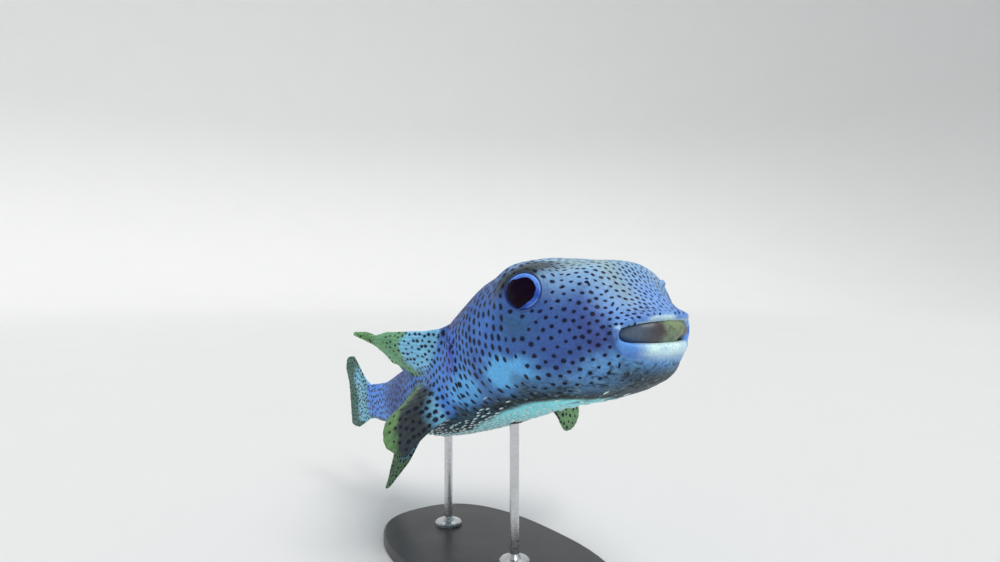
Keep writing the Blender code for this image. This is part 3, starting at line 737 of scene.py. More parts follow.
def finSurface(fin, share, out):
    # middle of the membrane: share runs over the rays, out runs from the root to the margin
    ray = 0.5 - 0.5 * np.cos(2 * np.pi * fin["rays"] * share)
    root = curveThrough(fin["root"], share)[:, None, :]
    reach = curveThrough(fin["reach"], share)[:, None, :]
    r = (out[None, :] * (1 - membrane["scallop"] * (1 - ray)[:, None] * out[None, :] ** 6))[..., None]
    points = root + reach * r + np.array(fin["bow"]) * (4 * r * (1 - r))
    points[..., 1] *= fin["side"]
    return points, ray


def finNormals(points):
    return unit(np.cross(np.gradient(points, axis=1), np.gradient(points, axis=0)))


skirt = {"steps": 12, "rise": 0.62, "sunk": 0.00035, "under": 0.0022}


def addSkirt(fin, sheet, middle, tree):
    # every side of the fin leaves the body along a smooth hollow curve; rows run out from the body
    rows, n = sheet.shape[:2]
    away = np.zeros((rows, n))
    for i in range(rows):
        for j in range(n):
            hit, normal, _, _ = tree.find_nearest(Vector(sheet[i, j]))
            gap = Vector(sheet[i, j]) - hit
            away[i, j] = -gap.length if gap.dot(normal) < -0.5 * gap.length else gap.length
    away = np.median(np.stack([np.roll(away, k, axis=1) for k in range(-3, 4)]), axis=0)
    rises = fin["flare"] * skirt["rise"]
    t = np.linspace(0, 1, skirt["steps"])[:, None]
    made = np.zeros((skirt["steps"] + rows, n, 3))
    place = np.zeros((skirt["steps"] + rows, n))           # which row of the sheet each new row stands for
    height = np.zeros((skirt["steps"] + rows, n))
    index = np.arange(rows)
    for j in range(n):
        outside = np.flatnonzero(away[:, j] > rises)
        lastRow = int(outside[0]) if len(outside) else rows - 1
        climb = np.maximum.accumulate(away[:lastRow + 1, j])
        climb = climb + np.arange(lastRow + 1) * 1e-9
        atBody, atRise = np.interp([0.0, rises], climb, index[:lastRow + 1])

        def at(row):
            return np.stack([np.interp(row, index, sheet[:, j, k]) for k in range(3)], axis=-1)

        corner, top = at(atBody), at(atRise)
        _, normal = nearestOn(tree, corner)
        aside = corner - np.array([np.interp(atBody, index, middle[:, j, k]) for k in range(3)])
        aside = unit(aside - normal * (aside @ normal))
        landing, landingNormal = nearestOn(tree, corner + aside * fin["flare"])
        landing = landing - landingNormal * skirt["sunk"]
        made[1:skirt["steps"] + 1, j] = (1 - t) ** 2 * landing + 2 * t * (1 - t) * corner + t**2 * top
        made[0, j] = landing - landingNormal * skirt["under"]
        rest = atRise + (rows - 1 - atRise) * np.linspace(0, 1, rows)[1:]
        made[skirt["steps"] + 1:, j] = at(rest)
        place[:, j] = np.concatenate([[atBody], atBody + (atRise - atBody) * t[:, 0], rest])
        height[:, j] = np.concatenate([[0.0], rises * t[:, 0] ** 2, np.interp(rest, index, away[:, j])])
    return made, place, height


def buildFin(skin, fin, base):
    columns = fin["rays"] * membrane["perRay"] + 1
    rows = membrane["rows"]
    share = np.linspace(0, 1, columns)
    out = 1 - (1 - np.linspace(0, 1, rows)) ** 1.15
    middle, ray = finSurface(fin, share, out)
    normals = finNormals(middle)
    ripple = np.sin(2 * np.pi * (2.3 * share[:, None] + 0.9 * out[None, :])) * out[None, :]
    middle = middle + normals * membrane["ripple"] * ripple[..., None]
    fleshy = smooth(0.30, 0.05, out)[None, :]
    ridge = np.maximum(ray[:, None] ** 1.6, fleshy)
    thick = fin["rootThick"] * (1 - out[None, :]) ** 2 + membrane["edge"]
    half = thick / 2 * (0.42 + 0.58 * ridge)
    half = half * np.sqrt(np.clip(1 - (np.clip(out - 0.965, 0, 1) / 0.035) ** 2, 0.02, 1))[None, :]
    upper = middle + normals * half[..., None]
    lower = middle - normals * half[..., None]
    steps = np.radians(np.linspace(0, 180, membrane["capSteps"] + 2)[1:-1])[:, None, None]

    def edgeOf(end, inner, turns):
        away = unit(middle[end] - middle[inner])[None]
        bend = normals[end][None] * np.cos(turns) + away * np.sin(turns)
        return middle[end][None] + bend * half[end][None, :, None]

    loop = np.concatenate([upper, edgeOf(-1, -2, steps), lower[::-1], edgeOf(0, 1, steps[::-1])])
    n = len(loop)
    back = np.concatenate([np.arange(columns), np.full(len(steps), columns - 1),
                           np.arange(columns)[::-1], np.zeros(len(steps), int)])
    sheet, place, awayGrid = addSkirt(fin, loop.transpose(1, 0, 2), middle[back].transpose(1, 0, 2),
                                      base["tree"])
    rows = len(sheet)
    points = sheet.reshape(-1, 3)                           # row after row, out from the body
    outGrid = np.interp(place, np.arange(len(out)), out)
    shareGrid = np.broadcast_to(share[back][None, :], (rows, n))
    rayGrid = np.broadcast_to(ray[back][None, :], (rows, n))
    faces = gridFaces(rows, n)
    u0, v0, u1, v1 = fin["uvBox"]
    u = u0 + (u1 - u0) * np.arange(n + 1) / n
    v = v0 + (v1 - v0) * np.arange(rows) / (rows - 1)
    uvs = gridUv(v, u, 1)
    j = np.arange(-(len(steps) // 2), columns - 1 + len(steps) // 2)
    last = 2 * columns + len(steps) - 1
    for row in (0, rows - 1):                               # close the root and the margin
        strip = row * n + np.stack([j % n, (j + 1) % n, (last - 1 - j) % n, (last - j) % n], axis=-1)
        stripUv = np.stack([u[j % n], u[(j + 1) % n], u[(j + 1) % n], u[j % n]], axis=-1)
        stripUv = np.stack([stripUv, np.full_like(stripUv, v[row])], axis=-1)
        faces = np.concatenate([faces, strip[:, ::-1] if row else strip])
        uvs = np.concatenate([uvs, stripUv])
    if not facesLookOut(points, faces, points.mean(axis=0)):
        faces, uvs = faces[:, ::-1], uvs[:, ::-1]
    tone, mottle = finTone(fin, sheet, outGrid, shareGrid, rayGrid, awayGrid, base)
    skin.add(points, faces, uvs, tone, mottle, np.zeros(rows * n))
    away = np.zeros((columns, len(out)))
    for i in range(columns):
        away[i] = np.interp(np.arange(len(out)), place[1:, i], awayGrid[1:, i], left=-1.0)
    return fin, middle, normals, away, share, out


def finTone(fin, sheet, outGrid, shareGrid, rayGrid, awayGrid, base):
    wander = fieldNoise(sheet, 0.010, 31)
    fine = fieldNoise(sheet, 0.003, 32)
    # the lower part of the fin, facing down, is darker: painted shade
    shadedPart = smooth(fin["lowFrom"] - 0.10, fin["lowFrom"] + 0.10, shareGrid + 0.05 * wander)
    dark = shadedPart * smooth(0.10, 0.36, outGrid + 0.05 * wander)
    tone = paint(np.broadcast_to(np.array(fin["inner"]), sheet.shape), fin["innerShaded"], dark)
    outer = paint(np.broadcast_to(np.array(fin["outer"]), sheet.shape), fin["outerShaded"], shadedPart)
    begins = np.interp(shareGrid, np.linspace(0, 1, len(fin["outerFrom"])), fin["outerFrom"])
    toOuter = smooth(begins - 0.10, begins + 0.07, outGrid + 0.05 * wander + 0.03 * fine)[..., None]
    tone = tone + (outer - tone) * toOuter
    tone = tone * (0.84 + 0.22 * rayGrid * smooth(0.1, 0.4, outGrid))[..., None]
    tone = tone * (1 + 0.12 * wander)[..., None]
    tone = tone * (1 - 0.35 * smooth(0.965, 0.99, outGrid)[..., None])
    nearest = [base["nearest"].find(Vector(p))[1] for p in sheet.reshape(-1, 3)]
    bodyTones = base["tone"][nearest].reshape(sheet.shape)
    close = smooth(fin["blend"], 0.0005, awayGrid)
    tone = tone + (bodyTones - tone) * close[..., None]
    mottle = base["mottle"][nearest] * close.reshape(-1)
    return tone.reshape(-1, 3), mottle


# nostrils: a short open tube on each side of the snout

nostril = {
    "behind": 0.0300, "turn": 38.0, "wide": 1.35, "leans": (1.0, 0.0, 0.35),
    # how far out, and how wide, each ring of it is
    "rings": ((-0.0006, 0.0036), (0.0001, 0.0028), (0.0007, 0.0022), (0.0012, 0.0019), (0.0016, 0.0018),
              (0.0018, 0.00150), (0.0017, 0.00120), (0.0010, 0.00095), (0.0003, 0.00080)),
    "pale": (0.330, 0.520, 0.860), "inside": (0.020, 0.022, 0.070), "sides": 28,
    "uvBoxes": {1: (0.975, 0.72, 0.995, 0.75), -1: (0.975, 0.77, 0.995, 0.80)},
}


def buildNostril(skin, side, base):
    angle = nostril["turn"] if side > 0 else 180 - nostril["turn"]
    root = formPoints([placeBehind(nostril["behind"])], np.array([angle]))[0, 0]
    hit, normal = nearestOn(base["tree"], root)
    ahead = np.array(nostril["leans"])
    along = unit(ahead - normal * (normal @ ahead))
    aside = np.cross(normal, along)
    turns = 2 * np.pi * np.arange(nostril["sides"]) / nostril["sides"]
    rings = []
    for high, radius in nostril["rings"]:
        lean = along * 0.25 * max(high, 0.0)
        ring = np.cos(turns)[:, None] * along * nostril["wide"] + np.sin(turns)[:, None] * aside
        ring = hit + lean + radius * ring
        if high < 0.0005:
            ring = np.array([nearestOn(base["tree"], p)[0] for p in ring])
        rings.append(ring + normal * high)
    rows, n = len(rings), nostril["sides"]
    points = np.concatenate(rings + [rings[-1].mean(axis=0)[None]])
    j = np.arange(2, n, 2)
    floor = fanOver((rows - 1) * n + np.arange(n), rows * n)
    bottom = np.stack([0 * j, j - 1, j, j + 1], axis=-1)
    faces = np.concatenate([gridFaces(rows, n), floor[:, ::-1], bottom])
    u0, v0, u1, v1 = nostril["uvBoxes"][side]
    high = np.repeat(np.arange(rows) / rows, n)
    aroundIt = np.tile(np.abs(2 * np.arange(n) / n - 1), rows)
    uv = np.stack([u0 + (u1 - u0) * aroundIt, v0 + (v1 - v0) * high], axis=-1)
    uv = np.concatenate([uv, [[u0, v1]]])
    if not facesLookOut(points, faces, hit):
        faces = faces[:, ::-1]
    nearest = [base["nearest"].find(Vector(p))[1] for p in points]
    level = np.append(np.repeat(np.arange(rows), n), rows)
    tone = paint(base["tone"][nearest], nostril["pale"], smooth(0.5, 3.0, level) * 0.75)
    # painted shade down inside the nostril's tube
    tone = paint(tone, nostril["inside"], smooth(5.2, 7.0, level))
    skin.add(points, faces, uv[faces], tone, np.zeros(len(points)), np.zeros(len(points)))


# scattering: spots and spines keep their distance from each other, as seeds in a flower head do

def scatterOver(points, faces, extra, count, spacing, seed):
    # points chosen over the skin, each at least its own spacing from the last
    chance = np.random.default_rng(seed)
    tri = inTriangles(faces)
    a, b, c = (points[tri[:, k]] for k in range(3))
    area = np.linalg.norm(np.cross(b - a, c - a), axis=1)
    pick = chance.choice(len(tri), count, p=area / area.sum())
    w1 = np.sqrt(chance.random(count))[:, None]
    w2 = chance.random(count)[:, None]
    weights = np.concatenate([1 - w1, w1 * (1 - w2), w1 * w2], axis=1)
    where = (points[tri[pick]] * weights[..., None]).sum(axis=1)
    values = (extra[tri[pick]] * weights[..., None]).sum(axis=1)
    gap = spacing(where, values)
    kept = np.zeros((count, 3), np.float32)
    keptGap = np.zeros(count, np.float32)
    chosen = []
    for k in np.flatnonzero(gap > 0):
        n = len(chosen)
        if n:
            near = ((kept[:n] - where[k]) ** 2).sum(axis=1) < (0.5 * (keptGap[:n] + gap[k])) ** 2
            if near.any():
                continue
        kept[n] = where[k]
        keptGap[n] = gap[k]
        chosen.append(k)
    return where[chosen], values[chosen], gap[chosen]


def evenOut(places, gaps, tree, rounds=6):
    # neighbours push each other apart along the skin
    places = places.copy()
    for _ in range(rounds):
        kd = pointTree(places)
        moved = places.copy()
        for k, p in enumerate(places):
            push = np.zeros(3)
            for other, index, far in kd.find_n(p, 7):
                if index != k and far < 1.5 * gaps[k]:
                    push += (p - np.array(other)) / max(far, 1e-6) * (1.5 * gaps[k] - far)
            moved[k] = nearestOn(tree, p + push * 0.16)[0]
        places = moved
    return places


# the one skin: body, lids and fins in one mesh, with its spots laid on

spots = {
    "seed": 11, "tries": 90000, "apart": 0.86, "size": 1.26,
    "strength": (0.96, 1.0), "finTries": 5200,
    "crowded": 0.62,                 # a spot that lies nearer than this share of its spacing is left out
    "clearOf": 0.0016,               # bare skin round the lips
    "furthest": 0.006,               # skin further than this from a spot's middle holds none of it
}


def nearEye(where, within):
    return np.any([(eyeReach(where, s)[0] < within) & (where[:, 1] * s > 0) for s in (1, -1)], axis=0)


def spotSpacing(where, values):
    # distance between spots; nothing on lips, eyes, the pale patch or the white belly
    arc, phi = values[:, 0], values[:, 1]
    behind = -where[:, 0]
    side = np.interp(behind, [0.0, 0.022, 0.045, 0.08, 0.13, 0.20, 0.30, 0.38, 0.47],
                     [0.0034, 0.0048, 0.0066, 0.0070, 0.0062, 0.0066, 0.0066, 0.0066, 0.0062])
    top = np.interp(behind, [0.0, 0.02, 0.05, 0.09, 0.14, 0.25, 0.38, 0.47],
                    [0.0034, 0.0038, 0.0053, 0.0062, 0.0059, 0.0061, 0.0064, 0.0062])
    gap = side + (top - side) * smooth(18, 52, phi)
    wander = fieldNoise(where, 0.012, 41)
    gap = gap * spots["apart"] * (1 + 0.12 * wander)
    gap = gap * (1 + 0.30 * smooth(-15, -35, phi) * smooth(0.05, 0.09, behind))
    gap = gap * (1 + 0.45 * zone(behind, phi, 0.150, -30, 0.020, 12))
    lipWidth = np.where(phi > 0, relief["upperLip"], relief["lowerLip"])
    blocked = (arc < lipWidth + spots["clearOf"]) | (where[:, 0] < -pose["length"] - 0.002)
    pale = zone(behind, phi, 0.102, -25, 0.027, 15) + 0.10 * wander
    blocked |= pale > 0.55
    blocked |= zone(behind, phi, 0.080, 4, 0.014, 7) > 0.50
    blocked |= (arc < 0.0125) & (np.abs(phi) < 16)
    low = np.interp(behind, [0.0, 0.03, 0.07, 0.12, 0.17, 0.25, 0.34, 0.47],
                    [-34, -44, -52, -54, -52, -46, -62, -88])
    blocked |= phi + 6 * wander < low
    blocked |= nearEye(where, 1.10)
    return np.where(blocked, 0.0, gap)


def spotShape(where, values, chance):
    # radius along and across, and the way a spot is drawn out
    phi, behind = values[1], -where[0]
    size = np.interp(behind, [0.0, 0.02, 0.04, 0.08, 0.13, 0.22, 0.35, 0.47],
                     [0.00066, 0.00090, 0.00114, 0.00130, 0.00162, 0.00166, 0.00160, 0.00160])
    onTop = float(smooth(20, 50, np.array(phi)))
    small = np.interp(behind, [0.0, 0.03, 0.06, 0.10, 0.2], [0.00072, 0.00090, 0.00112, 0.00148, 0.00176])
    size = (size + (small - size) * onTop) * chance.uniform(0.78, 1.20) * spots["size"]
    longer = 1.12 + 0.45 * onTop * float(smooth(0.08, 0.03, np.array(behind))) + 0.25 * chance.random()
    if behind > 0.38:
        longer += 0.7
    way = np.array([-1.0, 0.0, 0.15 * chance.normal()])
    if 0.018 < behind < 0.034 and 22 < abs(phi) < 42 and chance.random() < 0.25:
        longer, way = 2.3, np.array([-0.6, 0.0, -0.8])
    if 0.085 < behind < 0.19 and phi < 68:
        longer, way = longer + 0.15, np.array([-0.12, 0.0, 1.0 + 0.2 * chance.normal()])
    return size * math.sqrt(longer), size / math.sqrt(longer), way


def gatherSpots(base, finSheets):
    tree = base["tree"]
    chance = np.random.default_rng(spots["seed"])
    where, at, gap = scatterOver(base["points"], base["faces"], base["values"], spots["tries"], spotSpacing,
                                 spots["seed"])
    where = evenOut(where, gap, tree)
    rows = []
    for k, p in enumerate(where):
        if k and (np.linalg.norm(where[:k] - p, axis=1) < spots["crowded"] * gap[k]).any():
            continue                                        # pushed against another spot
        longR, shortR, way = spotShape(p, at[k], chance)
        rows.append((p, nearestOn(tree, p)[1], way, longR, shortR, chance.uniform(*spots["strength"])))
    for fin, middle, normals, away, share, out in finSheets:
        kept = []
        for _ in range(spots["finTries"]):
            s, r = chance.uniform(0.015, 0.985), chance.uniform(0.02, 1.0)
            i, j = int(s * (len(share) - 1)), int(np.searchsorted(out, r))
            j = min(j, len(out) - 1)
            low = float(smooth(fin["lowFrom"] - 0.12, fin["lowFrom"] + 0.12, np.array(s)))
            spotTo, gap, size = (fin[key][0] + (fin[key][1] - fin[key][0]) * low
                                 for key in ("spotTo", "spotSpacing", "spotSize"))
            if away[i, j] < 0.001 or r > spotTo:
                continue
            p = middle[i, j]
            fade = 1.0 - fin["spotFade"] * float(smooth(0.45, spotTo, np.array(r)))
            if kept and (np.linalg.norm(np.array([q[0] for q in kept]) - p, axis=1) < gap).any():
                continue
            size *= fade * chance.uniform(0.75, 1.2)
            along = middle[i, min(j + 1, len(out) - 1)] - middle[i, max(j - 1, 0)]
            longer = 1.3 + 0.4 * chance.random()
            kept.append((p, normals[i, j], along, size * math.sqrt(longer), size / math.sqrt(longer),
                         chance.uniform(*spots["strength"])))
        rows += kept
    return rows


def spotValues(points, faces, rows):
    # each corner's place in its nearest spot: 1 at the spot's edge, third number its strength
    centres, normal, way, longR, shortR, strength = (np.array(column) for column in zip(*rows))
    kd = pointTree(centres)
    middles = points[faces].mean(axis=1)
    nearest = np.zeros(len(faces), int)
    far = np.zeros(len(faces))
    for k, p in enumerate(middles.tolist()):
        _, nearest[k], far[k] = kd.find(p)
    normal = unit(normal)
    way = unit(way - normal * (way * normal).sum(axis=1, keepdims=True))
    aside = np.cross(normal, way)
    away = points[faces] - centres[nearest][:, None, :]
    x = (away * way[nearest][:, None, :]).sum(axis=-1) / longR[nearest][:, None]
    y = (away * aside[nearest][:, None, :]).sum(axis=-1) / shortR[nearest][:, None]
    value = np.stack([x, y, np.broadcast_to(strength[nearest][:, None], x.shape)], axis=-1)
    value[far > spots["furthest"]] = (9.0, 9.0, 0.0)
    return value


def meshObject(name, points, faces, uvs=None):
    mesh = bpy.data.meshes.new(name)
    mesh.vertices.add(len(points))
    mesh.vertices.foreach_set("co", np.asarray(points, np.float32).ravel())
    mesh.loops.add(faces.size)
    mesh.loops.foreach_set("vertex_index", faces.astype(np.int32).ravel())
    mesh.polygons.add(len(faces))
    mesh.polygons.foreach_set("loop_start", np.arange(0, faces.size, faces.shape[1], dtype=np.int32))
    mesh.update(calc_edges=True)
    mesh.shade_smooth()
    if uvs is not None:
        layer = mesh.uv_layers.new(name="OFBake")
        layer.uv.foreach_set("vector", np.asarray(uvs, np.float32).ravel())
    thing = bpy.data.objects.new(name, mesh)
    bpy.context.scene.collection.objects.link(thing)
    return thing


def addValues(thing, name, values, kind="FLOAT", domain="POINT"):
    made = thing.data.attributes.new(name, kind, domain)
    values = np.asarray(values, np.float32)
    if kind == "FLOAT_COLOR":
        values = np.concatenate([values, np.ones((len(values), 1))], axis=1)
    channel = {"FLOAT": "value", "FLOAT_VECTOR": "vector", "FLOAT_COLOR": "color"}[kind]
    made.data.foreach_set(channel, values.ravel())


def sheathRelief(points, spineRows):
    # the skin rises over each folded spine's root
    kd = pointTree(points)
    lift = np.zeros(len(points))
    for spine in spineRows:
        line, radius = spine["line"], spine["radius"]
        for k in range(len(line) - 1):
            a, b = line[k], line[k + 1]
            share = k / (len(line) - 1)
            height = spine["sheath"] * (1 - share) ** 0.7
            reach = radius * 3.2
            for co, index, _ in kd.find_range(Vector((a + b) / 2), reach + np.linalg.norm(b - a) / 2):
                p = np.array(co)
                t = min(max(float((p - a) @ (b - a)) / max(float((b - a) @ (b - a)), 1e-12), 0), 1)
                far = float(np.linalg.norm(p - a - (b - a) * t))
                lift[index] = max(lift[index], height * math.exp(-(far / (radius * 1.35)) ** 2))
    return lift


# folded spines: slender, lying back along the body, palest low down where they show most

spineCoat = {
    "seed": 5, "tries": 16000, "sides": 6, "rings": 6,
    "patch": 0.0015,                       # half of a spine's share of the unwrap
    "flankRadius": 0.00052, "lowRadius": 0.00084, "lowLength": 0.0064,
    "sunk": 0.00030,                       # a spine starts this deep in the skin
    "flankSheath": 0.00035, "lowSheath": 0.00022,
    "flankRoot": (0.060, 0.140, 0.420), "flankTip": (0.130, 0.250, 0.560),
    "lowRoot": (0.420, 0.560, 0.560), "lowTip": (0.840, 1.000, 1.000),
}


def spineSpacing(where, values):
    arc, phi = values[:, 0], values[:, 1]
    behind = -where[:, 0]
    gap = np.interp(behind, [0.03, 0.06, 0.12, 0.20, 0.30, 0.38], [0.012, 0.014, 0.015, 0.014, 0.013, 0.010])
    belly = smooth(-36, -50, phi) * smooth(0.135, 0.165, behind)
    gap = gap + (0.0042 - gap) * belly
    under = smooth(-60, -70, phi) * smooth(0.08, 0.11, behind)
    gap = gap + (0.0072 - gap) * under * (1 - belly)
    blocked = (behind < 0.040) | (behind > 0.395) | (arc < 0.02)
    onHead = (phi > -30) & (behind < 0.085)
    blocked |= onHead | ((behind < 0.125) & (phi > -66))
    gill = np.abs(behind - gillLine(where[:, 2])) < 0.006
    blocked |= gill & (phi > -50) & (phi < 50)
    blocked |= (np.abs(behind - 0.20) < 0.020) & (phi > -52) & (phi < 42)      # the pectoral fin's root
    blocked |= nearEye(where, 2.0)
    return np.where(blocked, 0.0, gap)


def planSpines(base):
    tree = base["tree"]
    chance = np.random.default_rng(spineCoat["seed"])
    where, at, gap = scatterOver(base["points"], base["faces"], base["values"], spineCoat["tries"],
                                 spineSpacing, spineCoat["seed"])
    where = evenOut(where, gap, tree, rounds=5)
    plans = []
    for k, p in enumerate(where):
        behind, phi = -p[0], at[k][1]
        low = float(smooth(-30, -52, np.array(phi)))
        length = np.interp(behind, [0.04, 0.10, 0.20, 0.30, 0.40], [0.011, 0.016, 0.019, 0.015, 0.010])
        length = (length + (spineCoat["lowLength"] - length) * low) * chance.uniform(0.85, 1.15)
        thinnest, thickest = spineCoat["flankRadius"], spineCoat["lowRadius"]
        radius = (thinnest + (thickest - thinnest) * low) * chance.uniform(0.9, 1.1)
        way = np.array([-1.0, 0.0, -0.16 + 0.10 * chance.normal()])
        steps = spineCoat["rings"]
        rise = (0.00010 + 0.00075 * low) * chance.uniform(0.7, 1.3)
        line, normals = [], []
        q = p.copy()
        for j in range(steps + 1):
            hit, normal = nearestOn(tree, q)
            line.append(hit + normal * (rise * (j / steps) ** 1.3 - spineCoat["sunk"]))
            normals.append(normal)
            step = way - normal * (way @ normal)
            q = hit + step / np.linalg.norm(step) * (length / steps)
        sheath = spineCoat["flankSheath"] * (1 - low) + spineCoat["lowSheath"] * low
        plans.append({"line": np.array(line), "normals": np.array(normals), "radius": radius, "low": low,
                      "sheath": sheath, "shade": chance.uniform(0.85, 1.1)})
    return plans


def buildSpines(plans, tree, faceUvs):
    sides, allPoints, allFaces, allUvs, allTone = spineCoat["sides"], [], [], [], []
    turns = 2 * np.pi * np.arange(sides) / sides
    count = 0
    for plan in plans:
        line, normals = plan["line"], plan["normals"]
        n = len(line)
        along = unit(np.gradient(line, axis=0))
        aside = unit(np.cross(along, normals))
        up = np.cross(aside, along)
        share = np.arange(n) / (n - 1)
        radius = plan["radius"] * (1 - share ** 2.2) ** 0.8 + 0.00004
        rings = line[:, None, :] + radius[:, None, None] * (
            np.cos(turns)[None, :, None] * aside[:, None, :] + np.sin(turns)[None, :, None] * up[:, None, :])
        allPoints.append(rings.reshape(-1, 3))
        ends = np.array([[0, 1, 2, 3], [0, 3, 4, 5]])
        faces = np.concatenate([gridFaces(n, sides), ends, (n - 1) * sides + ends[:, ::-1]])
        index = tree.find_nearest(Vector(line[0]))[2]
        aroundIt = np.tile(np.abs(np.arange(sides) / sides * 2 - 1), n) * 2 - 1
        uv = np.stack([np.repeat(share, sides) * 2 - 1, aroundIt], axis=-1) * spineCoat["patch"] * 0.95
        allUvs.append((uv + faceUvs(index))[faces])
        allFaces.append(faces + count)
        low = plan["low"]
        rootTone = np.array(spineCoat["flankRoot"]) * (1 - low) + np.array(spineCoat["lowRoot"]) * low
        tipTone = np.array(spineCoat["flankTip"]) * (1 - low) + np.array(spineCoat["lowTip"]) * low
        whiten = smooth(0.35 - 0.25 * low, 0.85 - 0.45 * low, share)[:, None]
        tone = (rootTone + (tipTone - rootTone) * whiten) * plan["shade"]
        allTone.append(np.repeat(tone, sides, axis=0))
        count += n * sides
    coat = meshObject("spines", np.concatenate(allPoints), np.concatenate(allFaces), np.concatenate(allUvs))
    addValues(coat, "tone", np.concatenate(allTone), "FLOAT_COLOR")
    return coat


# small helpers that the materials share

def give(tree, socket, value):
    # a link from another node's socket, or a plain value
    if isinstance(value, bpy.types.NodeSocket):
        tree.links.new(value, socket)
    else:
        socket.default_value = value


def feed(tree, node, **inputs):
    for key, value in inputs.items():
        give(tree, node.inputs[key.replace("_", " ")], value)


def addNode(tree, kind, settings=None, **inputs):
    node = tree.nodes.new(kind)
    for key, value in (settings or {}).items():
        setattr(node, key, value)
    feed(tree, node, **inputs)
    return node


def newMaterial(name):
    # the material, its nodes, its shader, and the place on the object that its patterns are laid by
    made = bpy.data.materials.new(name)
    made.use_nodes = True
    tree = made.node_tree
    return made, tree, tree.nodes["Principled BSDF"], addNode(tree, "ShaderNodeTexCoord").outputs["Object"]


def attribute(tree, name, kind="Fac"):
    return addNode(tree, "ShaderNodeAttribute", {"attribute_name": name}).outputs[kind]


def stretched(tree, where, scale):
    return addNode(tree, "ShaderNodeMapping", None, Vector=where, Scale=scale).outputs[0]


def greyOf(tree, value):
    return addNode(tree, "ShaderNodeCombineColor", None, Red=value, Green=value, Blue=value).outputs[0]


def noiseOf(tree, scale, detail, roughness, distortion, vector):
    return addNode(tree, "ShaderNodeTexNoise", None, Scale=scale, Detail=detail, Roughness=roughness,
                   Distortion=distortion, Vector=vector).outputs["Fac"]


def calc(tree, operation, a, b=0.0, clamp=False):
    node = addNode(tree, "ShaderNodeMath", {"operation": operation, "use_clamp": clamp})
    for socket, value in zip(node.inputs, (a, b)):
        give(tree, socket, value)
    return node.outputs[0]


def remap(tree, value, low, high, outLow=0.0, outHigh=1.0, shape="SMOOTHSTEP"):
    node = addNode(tree, "ShaderNodeMapRange", {"interpolation_type": shape}, Value=value, From_Min=low,
                   From_Max=high, To_Min=outLow, To_Max=outHigh)
    return node.outputs["Result"]


def mixColour(tree, factor, a, b, blend="MIX"):
    node = addNode(tree, "ShaderNodeMix", {"data_type": "RGBA", "blend_type": blend}, Factor=factor)
    for socket, value in ((node.inputs[6], a), (node.inputs[7], b)):
        give(tree, socket, (*value, 1.0) if isinstance(value, tuple) else value)
    return node.outputs[2]


def bumpOf(tree, height, distance, strength=1.0, normal=None):
    node = addNode(tree, "ShaderNodeBump", None, Height=height, Distance=distance, Strength=strength)
    if normal is not None:
        tree.links.new(normal, node.inputs["Normal"])
    return node.outputs["Normal"]


skinLook = {
    "spotColour": (0.002, 0.004, 0.022), "mottleDark": (0.014, 0.022, 0.028),
    "mottlePale": (0.220, 0.400, 0.480), "mottleStrength": (0.90, 0.62),       # of its dark and its pale part
    "dusk": (0.62, 0.66, 0.80), "halo": (0.30, 0.34, 0.62), "haloStrength": 0.25,
    "roughness": 0.52, "lipRoughness": 0.30,
    "pebbleScale": 620.0, "pebbleDepth": 0.00024, "softScale": 520.0, "softDepth": 0.00045,
}


